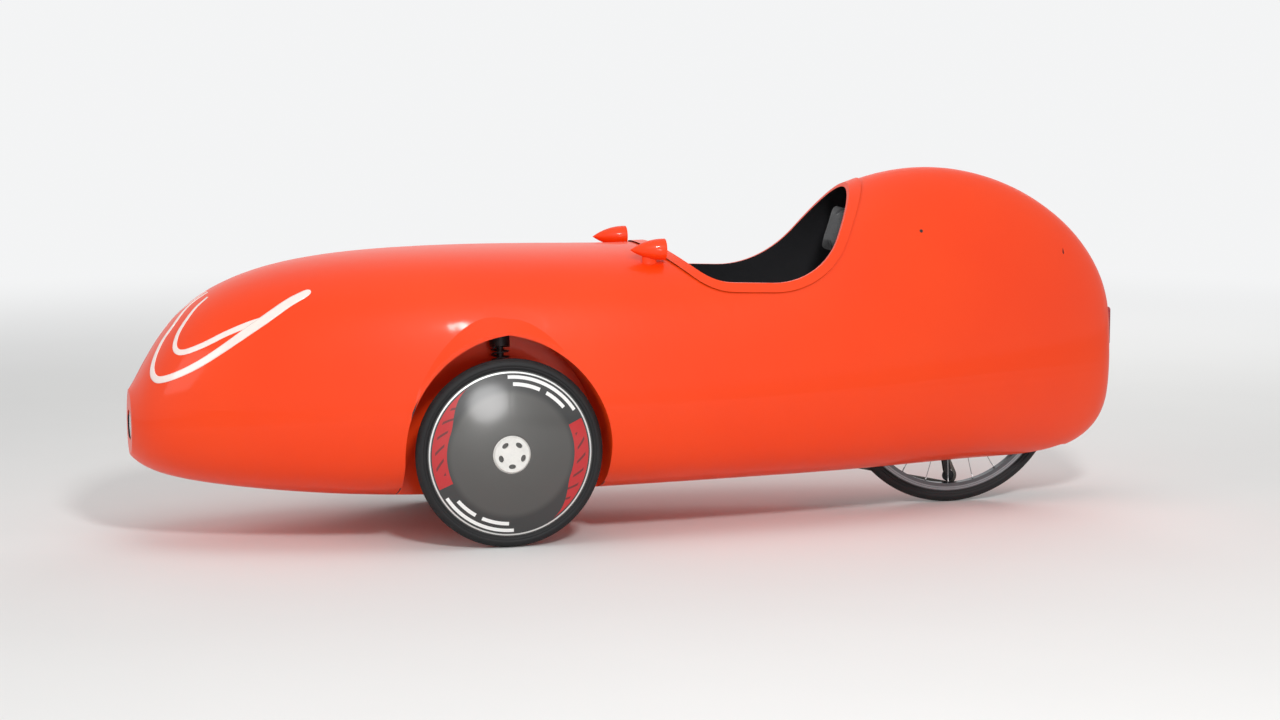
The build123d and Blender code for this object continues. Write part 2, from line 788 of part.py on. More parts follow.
with BuildPart() as hub_cap:
    with BuildSketch(axle_plane.offset(cap_base_y)):
        Circle(hub_cap_radius)
    extrude(amount=hub_cap_height, taper=hub_cap_taper)
    with BuildSketch(axle_plane.offset(cap_base_y)):
        with PolarLocations(hub_cap_hole_circle, hub_cap_hole_count, start_angle=90):
            Ellipse(hub_cap_hole_half_width, hub_cap_hole_half_length)
    extrude(amount=hub_cap_height, mode=Mode.SUBTRACT)
save_pair(hub_cap, "hub_cap")


# Rear wheel
rear_plane = Plane(origin=(rear_axle_x, 0, rear_tyre_radius), x_dir=(1, 0, 0), z_dir=(0, 1, 0))
with BuildPart() as rear_tyre:
    tyre_ring(rear_axle_x, 0, rear_tyre_radius, rear_tyre_width, rear_rim_radius)
save(rear_tyre, "rear_tyre")

with BuildPart() as rear_rim:
    rim_half = rear_rim_width / 2
    wheel_ring(rear_rim_radius - rear_rim_depth, rear_rim_radius, -rim_half, rim_half, rear_plane)
save(rear_rim, "rear_rim")

rear_rim_inner = rear_rim_radius - rear_rim_depth
with BuildPart() as rear_spokes:
    for index in range(rear_spoke_count):
        angle = 2 * math.pi * index / rear_spoke_count
        side = 1 if index % 2 else -1
        spin = Vector(math.cos(angle), 0, math.sin(angle))
        centre = Vector(rear_axle_x, 0, rear_tyre_radius)
        head_y = side * (rear_flange_spacing / 2 + spoke_head_offset)
        foot_point = centre + spin * (rear_flange_radius - spoke_head_inset) + Vector(0, head_y, 0)
        rim_point = centre + spin * (rear_rim_inner - spoke_rim_gap) + Vector(0, side * spoke_rim_y, 0)
        run = rim_point - foot_point
        with BuildSketch(Plane(origin=foot_point, z_dir=run)):
            Circle(spoke_radius)
        extrude(amount=run.length)
save(rear_spokes, "rear_spokes")

with BuildPart() as rear_hub:
    wheel_ring(axle_radius + running_fit, hub_radius, hub_right_y, hub_left_y, rear_plane)
    flange_half = rear_flange_thickness / 2
    for flange_y in (-rear_flange_spacing / 2, rear_flange_spacing / 2):
        near, far = flange_y - flange_half, flange_y + flange_half
        wheel_ring(hub_radius - hub_lap, rear_flange_radius, near, far, rear_plane)
    sprocket_half = sprocket_thickness / 2
    for index, radius in enumerate(cassette_radii):
        near = cassette_near - index * cassette_step - sprocket_half
        wheel_ring(hub_radius - hub_lap, radius, near, near + sprocket_thickness, rear_plane)
save(rear_hub, "rear_hub")

with BuildPart() as rear_axle:
    axle_end = swingarm_half_width + rear_axle_overhang
    round_bar(rear_plane, -axle_end, axle_end, axle_radius)
save(rear_axle, "rear_axle")

# Line of the seat in side view, used by what carries it
seat_points = [(ahead(x), z) for x, z in (seat_front, seat_low, seat_top)]


def shifted_path(points, distance):
    """The same bent path, moved to its upper side by the distance."""
    front, low, top = (Vector(*point) for point in points)
    back = (low - front).normalized()
    up = (top - low).normalized()
    to_front, to_top = Vector(back.Y, -back.X), Vector(up.Y, -up.X)
    bend = (to_front + to_top) * (distance / (1 + to_front.dot(to_top)))
    return [front + to_front * distance, low + bend, top + to_top * distance]


def seat_underside(x, segment):
    """Height of the seat's underside above x, on its front part (0) or its back (1)."""
    start, end = shifted_path(seat_points, -seat_thickness / 2)[segment:segment + 2]
    return start.Y + (x - start.X) * (end.Y - start.Y) / (end.X - start.X)


# Swingarm, shock and the bulkhead that carries them
pivot_x = ahead(swingarm_pivot_ahead)
with BuildPart() as swingarm:
    arm_half = swingarm_thickness / 2
    arm_far = swingarm_half_width + arm_half
    for side in (-1, 1):
        with BuildSketch(Plane.XZ.offset(arm_half - side * swingarm_half_width)):
            with BuildLine():
                Polyline(
                    (pivot_x + swingarm_pivot_nose, swingarm_pivot_z),
                    (pivot_x, swingarm_pivot_z + swingarm_pivot_depth),
                    (rear_axle_x, rear_tyre_radius + swingarm_end_depth),
                    (rear_axle_x - swingarm_end_tail, rear_tyre_radius),
                    (rear_axle_x, rear_tyre_radius - swingarm_end_depth),
                    (pivot_x, swingarm_pivot_z - swingarm_pivot_depth),
                    close=True,
                )
            make_face()
        extrude(amount=-swingarm_thickness)
    pivot_plane = Plane(origin=(pivot_x, 0, swingarm_pivot_z), x_dir=(1, 0, 0), z_dir=(0, 1, 0))
    wheel_ring(swingarm_bore_radius, pivot_tube_radius, -arm_far, arm_far, pivot_plane)
    with BuildSketch(pivot_plane.offset(-arm_far)):
        Circle(swingarm_bore_radius)
    extrude(amount=2 * arm_far, mode=Mode.SUBTRACT)
    with BuildSketch(rear_plane.offset(-arm_far)):
        Circle(axle_radius)
    extrude(amount=2 * arm_far, mode=Mode.SUBTRACT)
save(swingarm, "swingarm")

bulkhead_x = ahead(bulkhead_ahead)
with BuildPart() as bulkhead:
    extrude(section_face(section_at(bulkhead_ahead), wall + seat_gap), amount=bulkhead_thickness)
    bulkhead_top_z = seat_underside(bulkhead_x + bulkhead_thickness, 1)
    split(bisect_by=Plane.XY.offset(bulkhead_top_z), keep=Keep.BOTTOM)
    with BuildSketch(Plane.YZ.offset(bulkhead_x)):
        with Locations((chain_y, chain_window_top_z / 2)):
            Rectangle(chain_window_width, chain_window_top_z)
    extrude(amount=bulkhead_thickness, mode=Mode.SUBTRACT)
    lug_near = swingarm_half_width + pivot_lug_gap
    pin_end = lug_near + pivot_lug_thickness
    for lug_y in (-pin_end, lug_near):
        with BuildSketch(Plane.XZ.offset(-lug_y)):
            with BuildLine():
                Polyline(
                    (bulkhead_x, swingarm_pivot_z - pivot_lug_root),
                    (pivot_x, swingarm_pivot_z - pivot_lug_tip),
                    (pivot_x - pivot_lug_tip, swingarm_pivot_z),
                    (pivot_x, swingarm_pivot_z + pivot_lug_tip),
                    (bulkhead_x, swingarm_pivot_z + pivot_lug_root),
                    close=True,
                )
            make_face()
        extrude(amount=-pivot_lug_thickness)
    with BuildSketch(pivot_plane.offset(-pin_end)):
        Circle(pivot_pin_radius)
    extrude(amount=2 * pin_end)
save(bulkhead, "bulkhead")

# Chain, chainring, cranks and pedals
crank_x = ahead(crank_axle_ahead)
crank_plane = Plane(origin=(crank_x, 0, crank_axle_z), x_dir=(1, 0, 0), z_dir=(0, 1, 0))
with BuildPart() as crank_mast:
    mast_base_z = mast_pad[3]
    with BuildSketch(Plane.XY.offset(mast_base_z)):
        with Locations((crank_x, 0)):
            RectangleRounded(mast_foot_length, mast_foot_width, pad_rounding)
    extrude(amount=mast_foot_thickness)
    with BuildSketch(Plane.XY.offset(mast_base_z)):
        with Locations((crank_x, 0)):
            Circle(mast_radius)
    extrude(amount=crank_axle_z - mast_base_z)
    round_bar(crank_plane, -bracket_half_width, bracket_half_width, bracket_radius)
    with BuildSketch(crank_plane.offset(-bracket_half_width)):
        Circle(spindle_radius + running_fit)
    extrude(amount=2 * bracket_half_width, mode=Mode.SUBTRACT)
save(crank_mast, "crank_mast")

ring_near = chain_y - chainring_thickness / 2
ring_far = ring_near + chainring_thickness
ring_outer = chainring_radius - chain_thickness / 2 - pulley_clearance
with BuildPart() as crankset:
    round_bar(crank_plane, -crank_half_span, crank_half_span, spindle_radius)
    wheel_ring(chainring_inner_radius, ring_outer, ring_near, ring_far, crank_plane)
    with BuildSketch(crank_plane.offset(ring_near)):
        with PolarLocations(chainring_arm_circle, chainring_arm_count):
            RectangleRounded(chainring_arm_length, chainring_arm_width, chainring_arm_width / 4)
    extrude(amount=chainring_thickness)
    for side in (-1, 1):
        near = side * crank_half_span - crank_arm_thickness / 2
        with BuildSketch(crank_plane.offset(near)):
            with Locations((side * crank_length / 2, 0)):
                SlotCenterToCenter(crank_length, crank_arm_width)
        extrude(amount=crank_arm_thickness)
        with BuildSketch(crank_plane.offset(side * crank_half_span)):
            with Locations((side * crank_length, 0)):
                Circle(pedal_pin_radius)
        extrude(amount=side * (pedal_width + pedal_pin_reach))
save(crankset, "crankset")

for side, side_name in ((1, "left"), (-1, "right")):
    pedal_plane = Plane(
        origin=(crank_x + side * crank_length, side * (crank_half_span + pedal_gap), crank_axle_z),
        x_dir=(1, 0, 0),
        z_dir=(0, side, 0),
    )
    with BuildPart() as pedal:
        with BuildSketch(pedal_plane):
            RectangleRounded(2 * pedal_half_length, pedal_thickness, pedal_rounding)
            Circle(pedal_pin_radius + running_fit, mode=Mode.SUBTRACT)
        extrude(amount=pedal_width)
    save(pedal, f"pedal_{side_name}")

# What the chain runs over, in its order of travel: place ahead of the front axle, height and
# radius of the chain's middle line, negative where the chain passes on the wheel's other side.
chain_half = chain_thickness / 2
chain_wheels = [
    (crank_axle_ahead, crank_axle_z, chainring_radius),
    (idler[0], idler[1], -idler[2] - chain_half),
    (-wheelbase, rear_tyre_radius, cassette_radius),
    (guide_pulley[0], guide_pulley[1], -guide_pulley[2] - chain_half),
    (tension_pulley[0], tension_pulley[1], tension_pulley[2] + chain_half),
    (return_roller[0], return_roller[1], -return_roller[2] - chain_half),
    (-380.0, 340.0, 200.0),
]


def belt_headings(wheels):
    """Headings, in radians, of the straight runs from each wheel to the next."""
    headings = []
    for (x, z, r), (next_x, next_z, next_r) in zip(wheels, wheels[1:] + wheels[:1]):
        span = math.hypot(next_x - x, next_z - z)
        headings.append(math.atan2(next_z - z, next_x - x) - math.asin((next_r - r) / span))
    return headings


def belt_outline(wheels, plane, grow):
    """Face inside a belt that runs round the wheels, grown by the given amount."""
    headings = belt_headings(wheels)
    contact = []
    for (x, z, r), heading_in, heading_out in zip(wheels, headings[-1:] + headings[:-1], headings):
        turn = (heading_out - heading_in) % (2 * math.pi) - (2 * math.pi if r < 0 else 0)
        headings_on_wheel = (heading_in, heading_in + turn / 2, heading_in + turn)
        contact.append([(ahead(x) + r * math.sin(h), z - r * math.cos(h)) for h in headings_on_wheel])
    with BuildSketch(plane) as outline:
        with BuildLine():
            for arc, next_arc in zip(contact, contact[1:] + contact[:1]):
                ThreePointArc(*arc)
                Line(arc[2], next_arc[0])
        make_face()
        offset(amount=grow)
    return outline.sketch


chain_plane = Plane.XZ.offset(-chain_y - chain_width / 2)
with BuildPart() as chain:
    extrude(belt_outline(chain_wheels, chain_plane, chain_half), amount=chain_width)
    extrude(belt_outline(chain_wheels, chain_plane, -chain_half), amount=chain_width, mode=Mode.SUBTRACT)
save(chain, "chain")

# Rear mech: cage with two pulleys, hung from the right arm of the swingarm
guide_x = ahead(guide_pulley[0])
guide_z = guide_pulley[1]
tension_x = ahead(tension_pulley[0])
tension_z = tension_pulley[1]
with BuildPart() as rear_mech:
    for place, height, radius in (guide_pulley, tension_pulley):
        pulley_plane = Plane(origin=(ahead(place), chain_y, height), x_dir=(1, 0, 0), z_dir=(0, 1, 0))
        round_bar(pulley_plane, -pulley_half_width, pulley_half_width, radius - pulley_clearance)
        cage_reach = cage_plate_offset + cage_plate_thickness
        round_bar(pulley_plane, -cage_reach, cage_reach, cage_plate_thickness * 2)
    for near in (chain_y - cage_plate_offset - cage_plate_thickness, chain_y + cage_plate_offset):
        with BuildSketch(Plane.XZ.offset(-near)):
            with BuildLine():
                Line((guide_x, guide_z), (tension_x, tension_z))
            trace(line_width=cage_plate_width)
        extrude(amount=-cage_plate_thickness)
    hanger_near = -swingarm_half_width + swingarm_thickness / 2
    with BuildSketch(Plane.XZ.offset(-hanger_near)):
        with BuildLine():
            Line((guide_x, guide_z), (rear_axle_x + 6.0, rear_tyre_radius - 30.0))
        trace(line_width=cage_plate_width - 2.0)
    extrude(amount=-hanger_thickness)
    hanger_plane = Plane(origin=(guide_x, hanger_near, guide_z), x_dir=(1, 0, 0), z_dir=(0, 1, 0))
    round_bar(hanger_plane, 0, chain_y - cage_plate_offset - 1.0 - hanger_near, 7.0)
save(rear_mech, "rear_mech")

# Shock between the swingarm's arms and the bulkhead
shock_high = Vector(bulkhead_x - shock_radius - shock_wall_gap, 0, bulkhead_top_z - shock_top_drop)
pivot_centre = Vector(pivot_x, 0, swingarm_pivot_z)
shock_along = (shock_high - pivot_centre).normalized()
shock_low = pivot_centre + shock_along * (pivot_tube_radius + seat_gap)
with BuildPart() as shock:
    shock_run = shock_high - shock_low
    shock_plane = Plane(origin=shock_low, z_dir=shock_run)
    round_bar(shock_plane, 0, shock_run.length + shock_rod_radius, shock_rod_radius)
    round_bar(shock_plane, shock_foot_length, shock_run.length - shock_head_length, shock_radius)
    round_bar(Plane(origin=shock_high, z_dir=(1, 0, 0)), 0, bulkhead_x - shock_high.X, shock_rod_radius)
save(shock, "shock")

# Seat, seat pad and headrest
with BuildPart() as seat_shell:
    with BuildSketch(Plane.XZ):
        with BuildLine():
            FilletPolyline(*shifted_path(seat_points, 0), radius=seat_low_radius)
        trace(line_width=seat_thickness)
    extrude(amount=seat_half_width, both=True)
    bar_foot = seat_points[2]
    bar_top = (ahead(headrest_bar_top[0]), headrest_bar_top[1])
    with BuildSketch(Plane.XZ):
        with BuildLine():
            Line(bar_foot, bar_top)
        trace(line_width=seat_thickness)
    extrude(amount=headrest_bar_half_width, both=True)
    leg_x, leg_half, _, leg_base_z = seat_foot_pad
    leg_front = ahead(leg_x) + leg_half - pad_rounding
    leg_rear = ahead(leg_x) - leg_half + pad_rounding
    for leg_y in (-seat_leg_spread / 2, seat_leg_spread / 2):
        with BuildSketch(Plane.XZ.offset(-leg_y)):
            with BuildLine():
                leg_low = [(leg_rear, leg_base_z), (leg_front, leg_base_z)]
                leg_high = [(leg_front, seat_points[1][1]), (leg_rear, seat_points[1][1])]
                Polyline(*leg_low, *leg_high, close=True)
            make_face()
        extrude(amount=seat_leg_thickness / 2, both=True)
save(seat_shell, "seat_shell")

pad_rise = seat_thickness / 2 + seat_gap + pad_thickness / 2
with BuildPart() as seat_pad:
    with BuildSketch(Plane.XZ):
        with BuildLine():
            pad_path = shifted_path(seat_points, pad_rise)
            pad_path[2] -= (pad_path[2] - pad_path[1]).normalized() * pad_end_gap
            FilletPolyline(*pad_path, radius=seat_low_radius - pad_rise)
        trace(line_width=pad_thickness)
    extrude(amount=seat_half_width - pad_side_gap, both=True)
save(seat_pad, "seat_pad")

bar_run = Vector(*bar_top) - Vector(*bar_foot)
bar_along = bar_run.normalized()
bar_front = Vector(bar_along.Y, -bar_along.X)
with BuildPart() as headrest:
    with BuildSketch(Plane.XZ):
        with BuildLine():
            lift = bar_front * (seat_thickness / 2 + seat_gap)
            depth = bar_front * headrest_thickness
            base = Vector(*bar_foot) + bar_along * headrest_start + lift
            tip = base + bar_along * headrest_length
            corners = [base, tip, tip + depth, base + depth]
            FilletPolyline(*[(c.X, c.Y) for c in corners], radius=headrest_rounding, close=True)
        make_face()
    extrude(amount=headrest_half_width, both=True)
save(headrest, "headrest")

# Idler under the seat for the driving run and roller behind the bulkhead for the returning one
idler_plane = Plane(origin=(ahead(idler[0]), chain_y, idler[1]), x_dir=(1, 0, 0), z_dir=(0, 1, 0))
roller_x = ahead(return_roller[0])
roller_plane = Plane(origin=(roller_x, chain_y, return_roller[1]), x_dir=(1, 0, 0), z_dir=(0, 1, 0))
bracket_near = cage_plate_offset + cage_plate_thickness
bracket_far = bracket_near + hanger_thickness
idler_half = pulley_half_width * 3
with BuildPart() as chain_idler:
    round_bar(idler_plane, -idler_half, idler_half, idler[2] - pulley_clearance)
    round_bar(idler_plane, -idler_half, bracket_far, pedal_pin_radius)
    round_bar(roller_plane, -idler_half, idler_half, return_roller[2] - pulley_clearance)
    round_bar(roller_plane, -idler_half, bracket_far, pedal_pin_radius)
    hang_front = ahead(idler[0]) + cage_plate_width
    hang_rear = ahead(idler[0]) - cage_plate_width
    with BuildSketch(Plane.XZ.offset(-chain_y - bracket_near)):
        with BuildLine():
            Polyline(
                (hang_rear, seat_underside(hang_rear, 0)),
                (hang_front, seat_underside(hang_front, 0)),
                (hang_front - cage_plate_width / 2, idler[1] - cage_plate_width / 2),
                (hang_rear + cage_plate_width / 2, idler[1] - cage_plate_width / 2),
                close=True,
            )
        make_face()
        with BuildLine():
            Polyline(
                (bulkhead_x, return_roller[1] + cage_plate_width * 2),
                (bulkhead_x, return_roller[1] + cage_plate_width * 1.2),
                (roller_x - cage_plate_width / 2, return_roller[1] - cage_plate_width / 2),
                (roller_x - cage_plate_width / 2, return_roller[1] + cage_plate_width / 2),
                close=True,
            )
        make_face()
    extrude(amount=-hanger_thickness)
save(chain_idler, "chain_idler")

# Nose lamp behind a clear cover
nose_x = ahead(shell_sections[0][0])
nose_fit_width = nose_opening_width - 2 * seat_gap
nose_fit_height = nose_opening_height - 2 * seat_gap
with BuildPart() as nose_cover:
    with BuildSketch(Plane.YZ.offset(nose_x - nose_cover_inset)):
        with Locations((0, nose_opening_z)):
            SlotOverall(nose_fit_width, nose_fit_height)
    extrude(amount=nose_cover_thickness)
save(nose_cover, "nose_cover")

with BuildPart() as nose_lamp:
    lamp_face = Plane.YZ.offset(nose_x - nose_cover_inset)
    with BuildSketch(lamp_face):
        with Locations((0, nose_opening_z)):
            SlotOverall(nose_fit_width, nose_fit_height)
    extrude(amount=-nose_lamp_depth, taper=12)
    half_spacing = nose_reflector_spacing / 2
    with BuildSketch(lamp_face):
        with Locations((-half_spacing, nose_opening_z), (half_spacing, nose_opening_z)):
            Circle(nose_reflector_radius)
    extrude(amount=-nose_reflector_depth, taper=25, mode=Mode.SUBTRACT)
save(nose_lamp, "nose_lamp")

# Tail lamp on the edge of the tail
tail_x = ahead(shell_sections[-1][0])
with BuildPart() as tail_lamp:
    with BuildSketch(Plane.YZ.offset(tail_x)):
        with Locations((0, tail_lamp_z)):
            SlotOverall(tail_lamp_length, tail_lamp_width, rotation=90)
    extrude(amount=-tail_lamp_depth)
    fillet(faces().sort_by(Axis.X)[0].edges(), radius=tail_lamp_rounding)
save(tail_lamp, "tail_lamp")

# Mirrors: a teardrop pod on a short foot, with its glass facing the rider
mirror_x = ahead(mirror_ahead)
with BuildPart() as mirror_pod:
    with BuildSketch(Plane.XY.offset(mirror_z)):
        with BuildLine():
            tip = (mirror_x + mirror_length / 2, mirror_y)
            back = mirror_x - mirror_length / 2
            side = (mirror_x, mirror_y + mirror_radius * mirror_fullness)
            corner_out = (back, mirror_y + mirror_radius)
            ThreePointArc(tip, side, corner_out)
            Line(corner_out, (back, mirror_y))
            Line((back, mirror_y), tip)
        make_face()
    revolve(axis=Axis((0, mirror_y, mirror_z), (1, 0, 0)))
    with BuildSketch(Plane.YZ.offset(mirror_x - mirror_length / 2)):
        with Locations((mirror_y, mirror_z)):
            Circle(mirror_radius - mirror_rim)
    extrude(amount=mirror_recess, mode=Mode.SUBTRACT)
    with BuildSketch(Plane.XY.offset(mirror_z - mirror_radius - mirror_foot_start)):
        with Locations((mirror_x - mirror_foot_set_back, mirror_y)):
            Ellipse(mirror_foot_half_length, mirror_foot_half_width)
    extrude(amount=mirror_foot_height)
    add(outer_body.part, mode=Mode.SUBTRACT)
save_pair(mirror_pod, "mirror_pod")

with BuildPart() as mirror_glass:
    with BuildSketch(Plane.YZ.offset(mirror_x - mirror_length / 2 + mirror_glass_gap)):
        with Locations((mirror_y, mirror_z)):
            Circle(mirror_radius - mirror_rim - seat_gap)
    extrude(amount=mirror_glass_thickness)
save_pair(mirror_glass, "mirror_glass")
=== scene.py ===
import math

import bmesh
import bpy
import numpy as np
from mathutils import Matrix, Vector
from mathutils.bvhtree import BVHTree


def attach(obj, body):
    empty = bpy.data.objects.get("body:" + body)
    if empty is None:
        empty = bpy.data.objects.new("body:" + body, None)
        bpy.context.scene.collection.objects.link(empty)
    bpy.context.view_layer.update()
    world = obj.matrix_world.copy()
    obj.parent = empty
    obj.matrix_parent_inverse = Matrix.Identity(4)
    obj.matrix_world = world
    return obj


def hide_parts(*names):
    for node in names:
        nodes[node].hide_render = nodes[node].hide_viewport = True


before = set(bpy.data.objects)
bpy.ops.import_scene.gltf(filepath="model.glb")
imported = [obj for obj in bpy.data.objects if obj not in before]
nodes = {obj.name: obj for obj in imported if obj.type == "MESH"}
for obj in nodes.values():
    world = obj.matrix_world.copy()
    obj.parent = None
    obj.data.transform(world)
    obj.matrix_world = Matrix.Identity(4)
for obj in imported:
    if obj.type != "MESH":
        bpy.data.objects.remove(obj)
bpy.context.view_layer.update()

print("frame loaded:", len(nodes), "CAD nodes")


# Places and sizes that the CAD model gives, in metres and degrees
place = {
    "frontAxleX": 0.418,
    "frontAxleZ": 0.235,
    "halfTrack": 0.340,
    "rearAxleX": -0.858,
    "rearAxleZ": 0.311,
    "rearRimInner": 0.2608,
    "kingpinGroundY": 0.330,
    "kingpinTilt": 12.0,
}


# Shader helpers: a Signal is one socket that can be used in sums
class Signal:
    def __init__(self, recipe, socket):
        self.recipe = recipe
        self.socket = socket

    def math(self, operation, *values):
        return self.recipe.node("ShaderNodeMath", {"operation": operation}, dict(enumerate(values)))

    def __add__(self, other):
        return self.math("ADD", self, other)

    def __sub__(self, other):
        return self.math("SUBTRACT", self, other)

    def __rsub__(self, other):
        return self.math("SUBTRACT", other, self)

    def __mul__(self, other):
        return self.math("MULTIPLY", self, other)

    def __pow__(self, other):
        return self.math("POWER", self, other)

    def __mod__(self, other):
        return self.math("FLOORED_MODULO", self, other)

    def __gt__(self, other):
        return self.math("GREATER_THAN", self, other)

    def __lt__(self, other):
        return self.math("LESS_THAN", self, other)

    def __abs__(self):
        return self.math("ABSOLUTE", self)

    __radd__ = __add__
    __rmul__ = __mul__

    def sine(self):
        return self.math("SINE", self)

    def atLeast(self, other):
        return self.math("MAXIMUM", self, other)


class Recipe:
    def __init__(self, name):
        self.material = bpy.data.materials.new(name)
        self.material.use_nodes = True
        self.tree = self.material.node_tree
        self.shader = self.tree.nodes["Principled BSDF"]

    def node(self, kind, settings=None, inputs=None, output=0):
        made = self.tree.nodes.new(kind)
        for key, value in (settings or {}).items():
            setattr(made, key, value)
        for key, value in (inputs or {}).items():
            self.feed(made.inputs[key], value)
        return Signal(self, made.outputs[output])

    def feed(self, socket, value):
        if isinstance(value, Signal):
            self.tree.links.new(value.socket, socket)
        else:
            socket.default_value = value

    # Where a point is on the resting object, as a vector, and which way it faces there
    def spot(self):
        return self.node("ShaderNodeTexCoord", output="Object")

    def facing(self):
        return self.node("ShaderNodeTexCoord", output="Normal")

    def split(self, vector):
        made = self.tree.nodes.new("ShaderNodeSeparateXYZ")
        self.feed(made.inputs[0], vector)
        return [Signal(self, output) for output in made.outputs]

    def noise(self, scale, detail=3.0, roughness=0.5, vector=None):
        inputs = {"Vector": vector or self.spot(), "Scale": scale, "Detail": detail, "Roughness": roughness}
        return self.node("ShaderNodeTexNoise", None, inputs)

    def stretched(self, x, y, z):
        inputs = {0: self.spot(), 1: (x, y, z)}
        return self.node("ShaderNodeVectorMath", {"operation": "MULTIPLY"}, inputs)

    def soft(self, value, low, high):
        inputs = {"Value": value, "From Min": low, "From Max": high}
        return self.node("ShaderNodeMapRange", {"interpolation_type": "SMOOTHSTEP"}, inputs)

    def blend(self, share, first, second):
        settings = {"data_type": "RGBA"}
        return self.node("ShaderNodeMix", settings, {0: share, 6: first, 7: second}, 2)

    def bump(self, height, distance, strength=1.0):
        inputs = {"Height": height, "Distance": distance, "Strength": strength}
        return self.node("ShaderNodeBump", None, inputs)

    # How far a point is from an axle, and at what angle in degrees from straight ahead
    def about(self, axleX, axleZ):
        x, y, z = self.split(self.spot())
        fore, up = x - axleX, z - axleZ
        radius = (fore * fore + up * up) ** 0.5
        return radius, up.math("ARCTAN2", up, fore) * (180 / math.pi)

    def finish(self, **sockets):
        names = {
            "colour": "Base Color", "roughness": "Roughness", "metallic": "Metallic",
            "coat": "Coat Weight", "coatRoughness": "Coat Roughness", "normal": "Normal",
            "clear": "Transmission Weight", "ior": "IOR", "sheen": "Sheen Weight",
            "specular": "Specular IOR Level",
        }
        for key, value in sockets.items():
            self.feed(self.shader.inputs[names[key]], value)
        return self.material


def rgb(red, green, blue):
    # a colour as a paint chart gives it, 0 to 255, made linear
    def linear(value):
        share = value / 255
        return share / 12.92 if share <= 0.04045 else ((share + 0.055) / 1.055) ** 2.4
    return (linear(red), linear(green), linear(blue), 1.0)


# Body paint
paintLook = {
    "colour": rgb(248, 70, 8),
    "shade": rgb(242, 60, 4),
    "roughness": 0.44,
    "coat": 0.3,
    "coatRoughness": 0.1,
    "specular": 0.22,
    "dust": rgb(172, 130, 100),
    "dustFull": 0.09,
    "dustHeight": 0.15,
    "dustShare": 0.35,
    "lining": rgb(46, 46, 48),
    "liningLight": rgb(74, 74, 78),
    "liningWeave": 0.004,
}
shellMiddle = {"z": 0.4, "alongShare": 0.3}     # what tells the shell's outside from its inside


def weaveOf(recipe, pitch):
    x, y, z = recipe.split(recipe.spot())
    turn = 2 * math.pi / pitch
    return ((x + y) * turn).sine() * ((z + y - x) * turn).sine()


def paintRecipe(name, liningMask):
    recipe = Recipe(name)
    x, y, z = recipe.split(recipe.spot())
    lining = liningMask(recipe, x, y, z)
    cloudy = recipe.noise(3.0, 2.0)
    colour = recipe.blend(cloudy, paintLook["shade"], paintLook["colour"])
    speck = recipe.noise(90.0, 4.0, 0.7)
    low = 1 - recipe.soft(z, paintLook["dustFull"], paintLook["dustHeight"])
    dust = low * recipe.soft(speck, 0.45, 0.75) * paintLook["dustShare"]
    colour = recipe.blend(dust, colour, paintLook["dust"])
    weave = weaveOf(recipe, paintLook["liningWeave"])
    cloth = recipe.blend(weave * 0.25 + 0.3, paintLook["lining"], paintLook["liningLight"])
    peel = recipe.noise(420.0, 1.0)
    height = peel * 0.04 * (1 - lining) + weave * lining
    return recipe.finish(
        colour=recipe.blend(lining, colour, cloth),
        roughness=paintLook["roughness"] + lining * 0.2 + dust * 0.3 + cloudy * 0.05,
        coat=(1 - lining) * (1 - dust) * paintLook["coat"],
        coatRoughness=paintLook["coatRoughness"],
        specular=paintLook["specular"],
        normal=recipe.bump(height, 0.0002, 0.5),
    )


def insideOfShell(recipe, x, y, z):
    nx, ny, nz = recipe.split(recipe.facing())
    return (y * ny + (z - shellMiddle["z"]) * nz + x * nx * shellMiddle["alongShare"]) < 0.0


def cabinSideOfBox(recipe, x, y, z):
    nx, ny, nz = recipe.split(recipe.facing())
    side = y.math("SIGN", y)
    towardsAxle = nx * (place["frontAxleX"] - x) + nz * (place["frontAxleZ"] - z)
    return towardsAxle + ny * side * 0.2 < 0.0


def noLining(recipe, x, y, z):
    return z < -1.0     # nowhere, as the pods are painted all round


# Rubber, metals, plastics
tyreLook = {
    "rubber": rgb(20, 20, 22),
    "worn": rgb(42, 41, 40),
    "treadStart": 0.009,
    "treadFull": 0.005,
    "beadPitch": 0.0024,
}


def tyreRecipe(name, axleX, axleZ):
    # the wheel stands on the ground, so its radius is the height of its axle
    recipe = Recipe(name)
    radius = recipe.about(axleX, axleZ)[0]
    tread = recipe.soft(radius, axleZ - tyreLook["treadStart"], axleZ - tyreLook["treadFull"])
    beads = (radius * (2 * math.pi / tyreLook["beadPitch"])).sine() * 0.15
    height = beads * (1 - tread) + recipe.noise(900.0, 2.0) * 0.1
    worn = tread * recipe.soft(recipe.noise(60.0, 4.0), 0.35, 0.8)
    return recipe.finish(
        colour=recipe.blend(worn, tyreLook["rubber"], tyreLook["worn"]),
        roughness=0.62 + worn * 0.2,
        specular=0.4,
        normal=recipe.bump(height, 0.0008, 0.6),
    )


